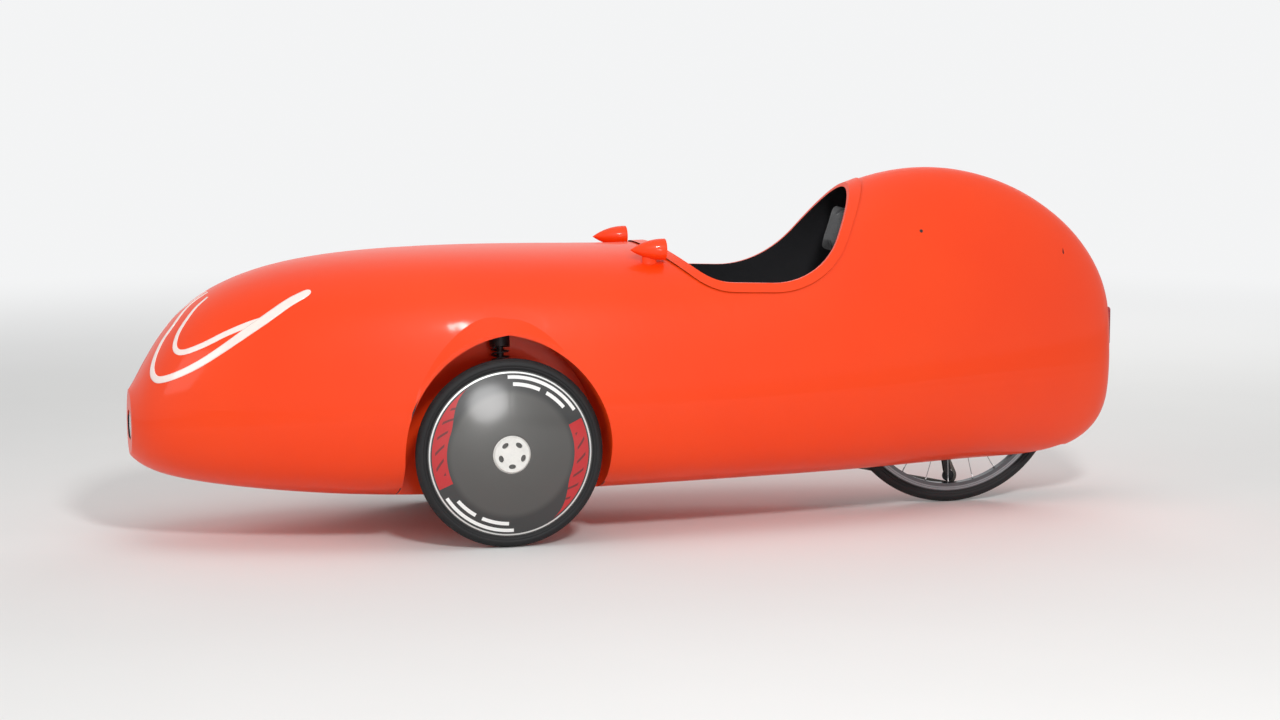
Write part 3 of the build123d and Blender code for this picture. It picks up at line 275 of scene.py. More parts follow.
discLook = {
    "grey": rgb(78, 77, 75),
    # painted shade: the disc is one grey, drawn darker towards its edge with this colour
    "edge": rgb(52, 52, 52),
    "white": rgb(244, 244, 242),
    "red": rgb(188, 6, 16),
    "darkRed": rgb(104, 6, 12),
    "rim": rgb(226, 226, 224),
    "roughness": 0.26,
    "coat": 0.8,
    "paintedShadeStart": 0.145,
    "paintedShadeEnd": 0.165,
    "rimInner": 0.2000,
    "rimOuter": 0.2038,
    # white bars, one row outside the other: inner and outer radius, start and end in degrees
    "whiteBars": [(0.1865, 0.1950, 88, 147), (0.1865, 0.1950, 268, 327),
                  (0.1690, 0.1780, 92, 115), (0.1690, 0.1780, 121, 140),
                  (0.1690, 0.1780, 272, 295), (0.1690, 0.1780, 301, 320)],
    # red crescents: from their thin end to their blunt one
    "crescents": [(58, -25), (238, 155)],
    "bandLow": 0.160,
    "bandHigh": 0.1965,
    "taper": 38,
    # slanted marks on the crescents: pitch, width and distance from either end in degrees, and how
    # far they lean for each metre of radius
    "markPitch": 12.0,
    "markWidth": 2.6,
    "markStart": 14.0,
    "markEnd": 9.0,
    "markMargin": 0.008,
    "slant": 380,
}


def discRecipe():
    # closed wheel disc: dark grey lacquer drawn darker towards its edge as painted shade, white bars, red
    # crescents and a bright ring at its very edge
    recipe = Recipe("discLacquer")
    radius, angle = recipe.about(place["frontAxleX"], place["frontAxleZ"])
    look = discLook
    white = red = marked = None
    for low, high, begin, end in look["whiteBars"]:
        turned = (angle - begin) % 360
        bar = (radius > low) * (radius < high) * (turned < end - begin)
        white = bar if white is None else white.atLeast(bar)
    for thin, blunt in look["crescents"]:
        turned = (thin - angle) % 360     # runs from the thin end
        width = recipe.soft(turned, 0.0, look["taper"]) * (look["bandHigh"] - look["bandLow"])
        crescent = (look["bandHigh"] - radius < width) * (radius < look["bandHigh"])
        crescent = crescent * (turned < thin - blunt)
        red = crescent if red is None else red.atLeast(crescent)
        inner = (turned > look["markStart"]) * (turned < thin - blunt - look["markEnd"])
        marked = inner if marked is None else marked.atLeast(inner)
    slanted = (angle + radius * look["slant"]) % look["markPitch"]
    margin = look["markMargin"]
    inBand = (radius > look["bandLow"] + margin) * (radius < look["bandHigh"] - margin)
    marks = (slanted < look["markWidth"]) * inBand * marked
    rim = (radius > look["rimInner"]) * (radius < look["rimOuter"])
    swirl = recipe.noise(14.0, 3.0)
    # painted shade: between these radii the grey darkens towards the edge
    shadedOutwards = recipe.soft(radius, look["paintedShadeStart"], look["paintedShadeEnd"])
    colour = recipe.blend(shadedOutwards, look["grey"], look["edge"])
    colour = recipe.blend(red, colour, recipe.blend(marks, look["red"], look["darkRed"]))
    colour = recipe.blend(white, colour, look["white"])
    colour = recipe.blend(rim, colour, look["rim"])
    return recipe.finish(
        colour=colour,
        roughness=look["roughness"] + swirl * 0.08,
        metallic=rim * 0.8 + (1 - rim) * (1 - white) * (1 - red) * 0.35,
        coat=look["coat"],
        coatRoughness=0.12,
    )


def plainRecipe(name, colour, other, roughness, metallic=0.0, grain=60.0, coat=0.0):
    recipe = Recipe(name)
    cloudy = recipe.noise(grain, 4.0, 0.6)
    fine = recipe.noise(grain * 14, 2.0)
    return recipe.finish(
        colour=recipe.blend(recipe.soft(cloudy, 0.3, 0.75), colour, other),
        roughness=roughness + cloudy * 0.12,
        metallic=metallic,
        coat=coat,
        normal=recipe.bump(fine, 0.0001, 0.4),
    )


def brushedRecipe(name, colour, other, roughness, stretch):
    recipe = Recipe(name)
    hair = recipe.noise(1.0, 4.0, 0.7, recipe.stretched(*stretch))
    cloudy = recipe.noise(30.0, 3.0)
    return recipe.finish(
        colour=recipe.blend(hair * 0.6 + cloudy * 0.4, colour, other),
        roughness=roughness + hair * 0.15,
        metallic=0.95,
        normal=recipe.bump(hair, 0.0001, 0.3),
    )


rimLook = {
    "grey": rgb(92, 93, 96),
    "light": rgb(150, 151, 154),
    "track": (0.2700, 0.2785),
    "groove": 0.2742,
    "ringPitch": 0.0005,
}


def rimRecipe():
    # lathe-turned rim: a bright brake track with a wear groove, darker towards the spokes
    recipe = Recipe("turnedRim")
    radius = recipe.about(place["rearAxleX"], place["rearAxleZ"])[0]
    low, high = rimLook["track"]
    past = recipe.soft(radius, high, high + 0.0005)
    track = recipe.soft(radius, low - 0.0003, low + 0.0003) * (1 - past)
    groove = 1 - recipe.soft(abs(radius - rimLook["groove"]), 0.0003, 0.0007)
    rings = (radius * (2 * math.pi / rimLook["ringPitch"])).sine() * 0.5 + 0.5
    cloudy = recipe.noise(30.0, 3.0)
    return recipe.finish(
        colour=recipe.blend(track * (1 - groove) * 0.8 + cloudy * 0.2,
                            rimLook["grey"], rimLook["light"]),
        roughness=0.24 + rings * 0.12 + cloudy * 0.06,
        metallic=0.95,
        normal=recipe.bump(rings * track * 0.3 - groove, 0.0003, 0.5),
    )


def weaveRecipe(name, colour, other, pitch, roughness, coat):
    recipe = Recipe(name)
    weave = weaveOf(recipe, pitch)
    return recipe.finish(
        colour=recipe.blend(weave * 0.5 + 0.5, colour, other),
        roughness=roughness + weave * 0.05,
        coat=coat,
        coatRoughness=0.12,
        normal=recipe.bump(weave, 0.0002, 0.4),
    )


def meshFabricRecipe(name, colour, other, pitch):
    recipe = Recipe(name)
    cells = recipe.node("ShaderNodeTexVoronoi", None, {"Vector": recipe.spot(), "Scale": 1 / pitch})
    holes = 1 - recipe.soft(cells, 0.15, 0.4)
    cloudy = recipe.noise(25.0, 4.0)
    return recipe.finish(
        colour=recipe.blend(holes, recipe.blend(cloudy, colour, other), rgb(10, 10, 11)),
        roughness=0.85,
        sheen=0.25,
        normal=recipe.bump(1 - holes, 0.0008, 0.6),
    )


def ribbedRecipe(name, colour, other, pitch):
    recipe = Recipe(name)
    y = recipe.split(recipe.spot())[1]
    ribs = (y * (2 * math.pi / pitch)).sine()
    grain = recipe.noise(700.0, 2.0)
    return recipe.finish(
        colour=recipe.blend(ribs * 0.5 + 0.5, colour, other),
        roughness=0.7,
        normal=recipe.bump(ribs + grain * 0.2, 0.001, 0.7),
    )


def lensRecipe(name, colour, deep, pitch):
    recipe = Recipe(name)
    y, z = recipe.split(recipe.spot())[1:]
    ribs = abs((z * (math.pi / pitch)).sine()) * abs((y * (math.pi / pitch)).sine())
    return recipe.finish(
        colour=recipe.blend(ribs, deep, colour),
        roughness=0.12,
        coat=1.0,
        coatRoughness=0.03,
        normal=recipe.bump(ribs, 0.0006, 0.35),
    )


facetTurn = 900     # radians for each metre of the reflector


def reflectorRecipe():
    recipe = Recipe("lampReflector")
    y, z = recipe.split(recipe.spot())[1:]
    bowl = recipe.soft(recipe.split(recipe.facing())[0], 0.1, 0.3)
    facets = abs((z * facetTurn).sine()) * abs((y * facetTurn).sine())
    return recipe.finish(
        colour=recipe.blend(facets, rgb(205, 208, 210), rgb(238, 240, 242)),
        roughness=0.28 - bowl * 0.14,
        metallic=0.85,
        normal=recipe.bump(facets, 0.0005, 0.4),
    )


def clearRecipe():
    recipe = Recipe("lampCover")
    haze = recipe.noise(40.0, 4.0)
    return recipe.finish(colour=rgb(240, 244, 246), roughness=haze * 0.05, clear=1.0, ior=1.46)


def mirrorRecipe():
    recipe = Recipe("mirrorSilver")
    haze = recipe.noise(60.0, 3.0)
    return recipe.finish(colour=rgb(226, 230, 232), roughness=haze * 0.03, metallic=1.0)


finishes = {
    "paint": paintRecipe("bodyPaint", insideOfShell),
    "boxPaint": paintRecipe("wheelBoxPaint", cabinSideOfBox),
    "podPaint": paintRecipe("podPaint", noLining),
    "frontTyre": tyreRecipe("frontTyreRubber", place["frontAxleX"], place["frontAxleZ"]),
    "rearTyre": tyreRecipe("rearTyreRubber", place["rearAxleX"], place["rearAxleZ"]),
    "disc": discRecipe(),
    "cap": plainRecipe("capLacquer", rgb(236, 235, 230), rgb(222, 221, 216), 0.22, coat=0.8),
    "film": plainRecipe("stripeFilm", rgb(252, 234, 226), rgb(248, 228, 220), 0.25, coat=0.9),
    "alloy": brushedRecipe("brushedAlloy", rgb(178, 180, 182), rgb(206, 207, 208), 0.28, (900, 40, 900)),
    "rim": rimRecipe(),
    "polished": brushedRecipe("polishedAlloy", rgb(200, 201, 202), rgb(222, 223, 224), 0.16, (60, 900, 900)),
    "blackAlloy": plainRecipe("blackAnodised", rgb(38, 38, 40), rgb(52, 52, 54), 0.38, 0.5, 120.0),
    "steel": brushedRecipe("plainSteel", rgb(150, 151, 154), rgb(184, 185, 187), 0.3, (800, 800, 60)),
    "chainSteel": plainRecipe("chainSteel", rgb(120, 118, 114), rgb(80, 76, 70), 0.35, 0.9, 400.0),
    "composite": weaveRecipe("wovenComposite", rgb(24, 24, 26), rgb(52, 52, 55), 0.005, 0.35, 0.6),
    "fabric": meshFabricRecipe("padFabric", rgb(30, 31, 34), rgb(44, 45, 48), 0.0028),
    "grip": ribbedRecipe("gripRubber", rgb(26, 26, 27), rgb(44, 44, 45), 0.006),
    "pedal": plainRecipe("pedalPlastic", rgb(30, 30, 31), rgb(44, 44, 46), 0.6, grain=200.0),
    "tailLens": lensRecipe("redLens", rgb(206, 18, 22), rgb(120, 6, 10), 0.004),
    "reflector": reflectorRecipe(),
    "clear": clearRecipe(),
    "mirror": mirrorRecipe(),
    "spring": plainRecipe("springSteel", rgb(60, 61, 64), rgb(82, 83, 86), 0.3, 0.7, 150.0),
}

# Which finish each CAD node takes
nodeFinishes = {
    "paint": ["hull_upper", "hull_lower"],
    "boxPaint": ["wheel_box_left", "wheel_box_right"],
    "podPaint": ["mirror_pod_left", "mirror_pod_right"],
    "frontTyre": ["front_tyre_left", "front_tyre_right"],
    "rearTyre": ["rear_tyre"],
    "disc": ["front_disc_left", "front_disc_right"],
    "cap": ["hub_cap_left", "hub_cap_right"],
    "rim": ["rear_rim"],
    "alloy": ["swingarm", "steering_bridge", "crank_mast", "front_hub_left", "front_hub_right",
              "lower_arm_left", "lower_arm_right", "tie_rod_left", "tie_rod_right", "rear_hub"],
    "polished": ["tiller", "crankset"],
    "blackAlloy": ["strut_left", "strut_right", "top_mount_left", "top_mount_right", "brake_plate_left",
                   "brake_plate_right", "shock", "rear_mech", "chain_idler"],
    "steel": ["axle_left", "axle_right", "rear_axle", "rear_spokes"],
    "chainSteel": ["chain"],
    "composite": ["bulkhead", "seat_shell"],
    "fabric": ["seat_pad", "headrest"],
    "grip": ["grip_left", "grip_right"],
    "pedal": ["pedal_left", "pedal_right"],
    "tailLens": ["tail_lamp"],
    "reflector": ["nose_lamp"],
    "clear": ["nose_cover"],
    "mirror": ["mirror_glass_left", "mirror_glass_right"],
}
for finishName, nodeNames in nodeFinishes.items():
    for nodeName in nodeNames:
        for holder in nodes[nodeName].material_slots:
            holder.material = finishes[finishName]
finished = [name for group in nodeFinishes.values() for name in group]
print("finishes given to", len(finished), "of", len(nodes), "nodes")


# Mesh helpers
def newPiece(name, vertices, faces, finish, body):
    mesh = bpy.data.meshes.new(name)
    mesh.from_pydata([tuple(v) for v in vertices], [], faces)
    mesh.update()
    mesh.materials.append(finishes[finish])
    mesh.shade_smooth()
    piece = bpy.data.objects.new(name, mesh)
    bpy.context.scene.collection.objects.link(piece)
    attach(piece, body)
    return piece


def smoothLine(points, steps):
    # Catmull-Rom through the points
    line = []
    last = len(points) - 1
    for index in range(last):
        a, b, c, d = (points[min(max(index + k, 0), last)] for k in (-1, 0, 1, 2))
        for step in range(steps):
            t = step / steps
            line.append(0.5 * (2 * b + (c - a) * t + (2 * a - 5 * b + 4 * c - d) * t * t
                               + (3 * b - a - 3 * c + d) * t ** 3))
    line.append(points[-1].copy())
    return line


def tube(name, line, radius, sides, finish, body):
    # round section carried along a line without twist
    count = len(line)
    vertices, faces = [], []
    across = None
    for index, point in enumerate(line):
        along = (line[min(index + 1, count - 1)] - line[max(index - 1, 0)]).normalized()
        if across is None:
            across = along.orthogonal().normalized()
        across = (across - along * across.dot(along)).normalized()
        upward = along.cross(across)
        for side in range(sides):
            turn = 2 * math.pi * side / sides
            vertices.append(point + (across * math.cos(turn) + upward * math.sin(turn)) * radius)
    for ring in range(count - 1):
        for side in range(sides):
            beside = (side + 1) % sides
            faces.append((ring * sides + side, (ring + 1) * sides + side,
                          (ring + 1) * sides + beside, ring * sides + beside))
    faces.append(tuple(range(sides)))
    faces.append(tuple(reversed(range((count - 1) * sides, count * sides))))
    turnOutwards(newPiece(name, vertices, faces, finish, body))


def lathe(name, profile, origin, axis, segments, finish, body):
    # profile is (along the axis, radius) from end to end, and its ends are closed
    axis = Vector(axis).normalized()
    across = axis.orthogonal().normalized()
    upward = axis.cross(across)
    origin = Vector(origin)
    vertices, faces = [], []
    for along, radius in profile:
        for segment in range(segments):
            turn = 2 * math.pi * segment / segments
            outward = across * math.cos(turn) + upward * math.sin(turn)
            vertices.append(origin + axis * along + outward * radius)
    for ring in range(len(profile) - 1):
        for segment in range(segments):
            beside = (segment + 1) % segments
            faces.append((ring * segments + segment, ring * segments + beside,
                          (ring + 1) * segments + beside, (ring + 1) * segments + segment))
    faces.append(tuple(reversed(range(segments))))
    last = (len(profile) - 1) * segments
    faces.append(tuple(range(last, last + segments)))
    turnOutwards(newPiece(name, vertices, faces, finish, body))


def turnOutwards(piece):
    work = bmesh.new()
    work.from_mesh(piece.data)
    bmesh.ops.recalc_face_normals(work, faces=work.faces)
    work.to_mesh(piece.data)
    work.free()


def surfaceOf(*names):
    # the outside of the shell: the faces that look away from its middle
    vertices, faces = [], []
    for name in names:
        mesh = nodes[name].data
        start = len(vertices)
        vertices += [v.co.copy() for v in mesh.vertices]
        for face in mesh.polygons:
            middle, out = face.center, face.normal
            upward = (middle.z - shellMiddle["z"]) * out.z
            if middle.y * out.y + upward + middle.x * out.x * shellMiddle["alongShare"] > 0:
                faces.append(tuple(start + i for i in face.vertices))
    return BVHTree.FromPolygons(vertices, faces)


# Stripes of white film on the nose, the same on both sides
stripeLook = {
    "lift": {"outer": 0.0007, "inner": 0.0003},     # the inner stripe ends under the outer one
    "sink": 0.0006,
    # how far off the shell the look for its surface starts, and how far it goes
    "probe": 0.03,
    "reach": 0.08,
    "across": 6,
    "steps": 12,
    # x, y, z of the middle and half the width there
    "outer": [
        (1.116, 0.016, 0.617, 0.0040), (1.151, 0.012, 0.595, 0.0056), (1.172, 0.020, 0.577, 0.0066),
        (1.203, 0.044, 0.541, 0.0076), (1.235, 0.052, 0.502, 0.0084), (1.257, 0.074, 0.460, 0.0088),
        (1.262, 0.100, 0.430, 0.0090), (1.250, 0.130, 0.416, 0.0088), (1.214, 0.160, 0.426, 0.0088),
        (1.160, 0.192, 0.457, 0.0092), (1.096, 0.212, 0.500, 0.0100), (1.003, 0.222, 0.565, 0.0125),
        (0.942, 0.217, 0.606, 0.0125), (0.905, 0.214, 0.627, 0.0118), (0.892, 0.212, 0.634, 0.0090),
        (0.886, 0.212, 0.637, 0.0030),
    ],
    "inner": [
        (1.120, 0.056, 0.609, 0.0040), (1.150, 0.068, 0.587, 0.0052), (1.176, 0.085, 0.560, 0.0062),
        (1.202, 0.104, 0.524, 0.0068), (1.210, 0.128, 0.494, 0.0072), (1.192, 0.152, 0.484, 0.0074),
        (1.149, 0.180, 0.503, 0.0074), (1.092, 0.199, 0.533, 0.0076), (1.040, 0.213, 0.556, 0.0080),
        (0.996, 0.221, 0.572, 0.0070), (0.960, 0.218, 0.595, 0.0040),
    ],
}


def filmBand(name, surface, rows, lift, side):
    look = stripeLook
    line = smoothLine([Vector((x, y * side, z, half)) for x, y, z, half in rows], look["steps"])
    middles, normals = [], []
    for point in line:
        spot, normal = surface.find_nearest(point.to_3d())[:2]
        middles.append(spot)
        normals.append(normal)
    vertices, faces = [], []
    count = look["across"] + 1
    for index, (spot, normal) in enumerate(zip(middles, normals)):
        along = middles[min(index + 1, len(line) - 1)] - middles[max(index - 1, 0)]
        sideways = normal.cross(along).normalized()
        half = line[index][3]
        top, under = [], []
        for step in range(count):
            offset = sideways * half * (2 * step / look["across"] - 1)
            above = spot + offset + normal * look["probe"]
            near = surface.ray_cast(above, -normal, look["reach"])[0]
            if near is None:
                near = surface.find_nearest(spot + offset)[0]
            top.append(near + normal * lift)
            under.append(near - normal * look["sink"])
        vertices += top + under
    ring = 2 * count
    for index in range(len(line) - 1):
        here, there = index * ring, (index + 1) * ring
        for step in range(count - 1):
            faces.append((here + step, here + step + 1, there + step + 1, there + step))
            low = count + step
            faces.append((here + low, there + low, there + low + 1, here + low + 1))
        faces.append((here, there, there + count, here + count))
        far, under = count - 1, ring - 1
        faces.append((here + far, here + under, there + under, there + far))
    for here in (0, (len(line) - 1) * ring):
        for step in range(count - 1):
            low = here + count + step
            faces.append((here + step, here + step + 1, low + 1, low))
    turnOutwards(newPiece(name, vertices, faces, "film", "hull"))


shellSurface = surfaceOf("hull_upper", "hull_lower")
for sideName, side in (("left", 1), ("right", -1)):
    for rowName in ("outer", "inner"):
        lift = stripeLook["lift"][rowName]
        filmBand(f"nose_stripe_{rowName}_{sideName}", shellSurface, stripeLook[rowName], lift, side)
print("nose stripes laid")


# Studs for the cockpit cover, one on each side of the hump
studLook = {"x": -0.709, "z": 0.746, "radius": 0.0045, "stand": 0.0022, "sink": 0.002, "sides": 20}


def coverStud(sideName, side):
    look = studLook
    beside = Vector((look["x"], side, look["z"]))
    spot, normal = shellSurface.ray_cast(beside, Vector((0, -side, 0)))[:2]
    radius, stand = look["radius"], look["stand"]
    profile = [(-look["sink"], radius), (stand * 0.4, radius), (stand * 0.8, radius * 0.85),
               (stand, radius * 0.55), (stand * 1.02, radius * 0.1)]
    lathe(f"cover_stud_{sideName}", profile, spot, normal, look["sides"], "blackAlloy", "hull")


for sideName, side in (("left", 1), ("right", -1)):
    coverStud(sideName, side)
print("cover studs set")


# Tyres: a smooth crown between ring grooves, slanted cuts on the shoulders, moulded rings on the
# wall. Angles are degrees from the crown.
treadLook = {
    "segments": 360,
    "rings": (9.0, 27.0),
    "ringHalf": 2.6,
    "ringDepth": 0.0010,
    "edge": 0.5,
    "cuts": (33.0, 62.0),
    "cutSteps": 6,
    "wallSteps": 4,
    "cutPitch": 4,      # segments
    "cutDepth": 0.0009,
    "slant": 0.14,      # segments that a cut moves round the wheel for each degree
    # shares of the wall's height, and a ring's own section: height beside that, share of its depth
    "wallRings": (0.25, 0.8),
    "wallRing": ((-0.05, 0.0), (-0.025, 1.0), (0.025, 1.0), (0.05, 0.0)),
    "wallDepth": 0.0005,
    "footShare": 0.6,
    "inside": 0.00005,  # how far it stays inside the CAD tyre
}
frontTyreSizes = {"outer": place["frontAxleZ"], "width": 0.032, "seat": 0.207}
rearTyreSizes = {"outer": place["rearAxleZ"], "width": 0.034, "seat": 0.281}


def crownAngles(look):
    # for one half of the section: degrees from the crown and how deep the tyre is cut there
    rows = [(0.0, 0.0)]
    half, edge, depth = look["ringHalf"], look["edge"], look["ringDepth"]
    for middle in look["rings"]:
        rows += [(middle - half, 0.0), (middle - half + edge, depth),
                 (middle + half - edge, depth), (middle + half, 0.0)]
    start, end = look["cuts"]
    steps, wallSteps = look["cutSteps"], look["wallSteps"]
    rows += [(start + (end - start) * step / steps, 0.0) for step in range(steps + 1)]
    rows += [(end + (90.0 - end) * step / wallSteps, 0.0) for step in range(1, wallSteps + 1)]
    return rows


def tyreSection(look, outer, width, seat):
    # one row per point round the section: place across, radius, degrees from the crown and side
    half = width / 2
    halfRows = []
    for degrees, depth in crownAngles(look):
        turn = math.radians(degrees)
        reach = half - look["inside"] - depth
        halfRows.append((reach * math.sin(turn), outer - half + reach * math.cos(turn), degrees))
    wallTop, wallFoot = (half - look["inside"], outer - half), (half * look["footShare"], seat)
    for share in look["wallRings"]:
        for step, sunk in look["wallRing"]:
            along = share + step
            across = wallTop[0] + (wallFoot[0] - wallTop[0]) * along - sunk * look["wallDepth"]
            halfRows.append((across, wallTop[1] + (wallFoot[1] - wallTop[1]) * along, 90.0))
    halfRows.append((wallFoot[0], wallFoot[1], 90.0))
    left = [(across, radius, degrees, 1) for across, radius, degrees in halfRows]
    right = [(-across, radius, degrees, -1) for across, radius, degrees in reversed(halfRows[1:])]
    return left + right


def treadedTyre(node, body, finish, axle, sizes):
    look = treadLook
    section = tyreSection(look, sizes["outer"], sizes["width"], sizes["seat"])
    start, end = look["cuts"]
    segments = look["segments"]
    vertices, faces = [], []
    for segment in range(segments):
        for across, radius, degrees, side in section:
            shift = look["slant"] * (min(max(degrees, start), end) - start)
            staggered = segment + (side > 0) * look["cutPitch"] // 2
            isCut = start < degrees < end and staggered % look["cutPitch"] == 0
            depth = look["cutDepth"] if isCut else 0.0
            lean = math.radians(degrees)
            turn = 2 * math.pi * (segment + shift) / segments
            reach = radius - depth * math.cos(lean)
            sideways = across - side * depth * math.sin(lean)
            vertices.append(Vector((axle[0] + reach * math.cos(turn), axle[1] + sideways,
                                    axle[2] + reach * math.sin(turn))))
    count = len(section)
    for segment in range(segments):
        following = (segment + 1) % segments
        for point in range(count):
            beside = (point + 1) % count
            faces.append((segment * count + point, following * count + point,
                          following * count + beside, segment * count + beside))
    piece = newPiece(node.replace("tyre", "tread"), vertices, faces, finish, body)
    turnOutwards(piece)
    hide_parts(node)


rearAxle = (place["rearAxleX"], 0.0, place["rearAxleZ"])
for sideName, side in (("left", 1), ("right", -1)):
    axle = (place["frontAxleX"], side * place["halfTrack"], place["frontAxleZ"])
    treadedTyre(f"front_tyre_{sideName}", f"wheel_front_{sideName}", "frontTyre", axle, frontTyreSizes)
treadedTyre("rear_tyre", "wheel_rear", "rearTyre", rearAxle, rearTyreSizes)
print("tyres moulded")


# Nipples at the rim end of the rear spokes, and the valve between two of them
nippleLook = {"count": 24, "headRadius": 0.023, "headSide": 0.0201, "rimSide": 0.003,
              "length": 0.012, "radius": 0.0021, "waist": 0.0016, "sides": 10}
valveLook = {"turn": 7.5, "length": 0.038, "radius": 0.003, "cap": 0.0038, "sides": 16}


def radial(turn, reach, across):
    fore, up = reach * math.cos(turn), reach * math.sin(turn)
    return Vector((rearAxle[0] + fore, across, rearAxle[2] + up))


def nipple(index, look):
    turn = 2 * math.pi * index / look["count"]
    side = 1 if index % 2 else -1
    foot = radial(turn, place["rearRimInner"], side * look["rimSide"])
    head = radial(turn, look["headRadius"], side * look["headSide"])
    length, radius, waist = look["length"], look["radius"], look["waist"]
    profile = [(0.0, radius), (length * 0.3, radius), (length * 0.4, waist),
               (length * 0.95, waist), (length, waist * 0.8)]
    lathe(f"rear_nipple_{index + 1}", profile, foot, head - foot, look["sides"],
          "polished", "wheel_rear")


def valve(look):
    foot = radial(math.radians(look["turn"]), place["rearRimInner"], 0.0)
    length, radius, cap = look["length"], look["radius"], look["cap"]
    profile = [(0.0, radius), (length * 0.55, radius), (length * 0.56, cap), (length * 0.92, cap),
               (length, cap * 0.7)]
    lathe("rear_valve", profile, foot, Vector(rearAxle) - foot, look["sides"], "blackAlloy",
          "wheel_rear")


for index in range(nippleLook["count"]):
    nipple(index, nippleLook)
valve(valveLook)
print("nipples and valve set")


# Coil springs on the front struts
springLook = {
    "low": 0.364,
    "high": 0.494,
    "radius": 0.0205,
    "wire": 0.0028,
    "turns": 9,
    "steps": 20,
    "sides": 8,
    # the ring it stands on: from and to along the strut, inner and outer radius
    "seat": (0.361, 0.365, 0.012, 0.0235),
    "seatSides": 32,
}


def coil(name, origin, axis, look, body):
    axis = Vector(axis).normalized()
    across = axis.orthogonal().normalized()
    upward = axis.cross(across)
    steps = look["turns"] * look["steps"]
    line = []
    for step in range(steps + 1):
        share = step / steps
        turn = 2 * math.pi * look["turns"] * share
        along = look["low"] + (look["high"] - look["low"]) * share
        outward = across * math.cos(turn) + upward * math.sin(turn)
        line.append(Vector(origin) + axis * along + outward * look["radius"])
    tube(name, line, look["wire"], look["sides"], "spring", body)


tilt = math.radians(place["kingpinTilt"])
for sideName, side in (("left", 1), ("right", -1)):
    foot = (place["frontAxleX"], side * place["kingpinGroundY"], 0.0)
    lean = (0.0, -side * math.sin(tilt), math.cos(tilt))
    coil(f"strut_spring_{sideName}", foot, lean, springLook, f"steer_{sideName}")
    start, end, inner, outer = springLook["seat"]
    seatProfile = [(start, inner), (start, outer), (end, outer), (end, inner)]
    lathe(f"spring_seat_{sideName}", seatProfile, foot, lean, springLook["seatSides"], "blackAlloy",
          f"steer_{sideName}")
print("front springs wound")


# Seat pad and headrest: swollen by the cloth solver, and the seat pad sewn in channels
padLook = {
    "line": [(0.088, 0.262), (-0.082, 0.196), (-0.527, 0.585)],
    "rise": 0.0148,
    "bend": 0.1052,
    "endGap": 0.012,
    "thickness": 0.024,
    "voxel": 0.005,
    "shrink": 0.003,
    "cap": 0.008,
    "pressure": 4.0,
    "channelPitch": 0.072,
    "channelDepth": 0.0055,
    "channelWidth": 0.005,
    "borderY": 0.122,
    "swell": 0.003,     # how far the pad may rise over the CAD pad's top
    "straightSteps": (12, 24),
    "bendSteps": 24,
}
restLook = {"voxel": 0.004, "shrink": 0.004, "cap": 0.009, "pressure": 4.0}
clothSteps = 20


def padMiddle(look):
    # the pad's middle line in side view, as the CAD solid has it
    front, low, top = (Vector(p) for p in look["line"])
    back, up = (low - front).normalized(), (top - low).normalized()
    toFront, toTop = Vector((back.y, -back.x)), Vector((up.y, -up.x))
    bend = (toFront + toTop) * (look["rise"] / (1 + toFront.dot(toTop)))
    front, low, top = front + toFront * look["rise"], low + bend, top + toTop * look["rise"]
    top -= up * look["endGap"]
    half = math.acos(max(-1.0, min(1.0, back.dot(up)))) / 2
    reach = look["bend"] * math.tan(half)
    start, end = low - back * reach, low + up * reach
    centre = start + toFront * look["bend"] * (1 if toFront.dot(up) > 0 else -1)
    below, above = look["straightSteps"]
    line = [front + (start - front) * (i / below) for i in range(below)]
    first, last = start - centre, end - centre
    for i in range(look["bendSteps"] + 1):
        share = i / look["bendSteps"]
        line.append(centre + (first * (1 - share) + last * share).normalized() * look["bend"])
    line += [end + (top - end) * (i / above) for i in range(1, above + 1)]
    return line


def besideLine(points, line):
    # for each point in side view: how far along the line it is, and how far above it
    line = np.array([tuple(p) for p in line])
    runs = np.diff(line, axis=0)
    lengths = np.linalg.norm(runs, axis=1)
    starts = np.concatenate([[0.0], np.cumsum(lengths)])
    along = np.zeros(len(points))
    above = np.zeros(len(points))
    nearest = np.full(len(points), 1e9)
    upwards = np.zeros((len(points), 2))
    for index, (run, length) in enumerate(zip(runs, lengths)):
        relative = points - line[index]
        share = np.clip(relative @ run / length ** 2, 0, 1)
        gap = relative - share[:, None] * run
        distance = np.linalg.norm(gap, axis=1)
        up = np.array([run[1], -run[0]]) / length
        better = distance < nearest
        nearest[better] = distance[better]
        along[better] = starts[index] + share[better] * length
        above[better] = (relative @ up)[better]
        upwards[better] = up
    return along, above, upwards, starts[-1]


def readPoints(mesh):
    values = np.zeros(len(mesh.vertices) * 3)
    mesh.vertices.foreach_get("co", values)
    return values.reshape(-1, 3)


def writePoints(mesh, points):
    mesh.vertices.foreach_set("co", points.reshape(-1))
    mesh.update()


def applied(piece):
    evaluated = piece.evaluated_get(bpy.context.evaluated_depsgraph_get())
    shaped = bpy.data.meshes.new_from_object(evaluated)
    piece.modifiers.clear()
    old = piece.data
    piece.data = shaped
    bpy.data.meshes.remove(old)


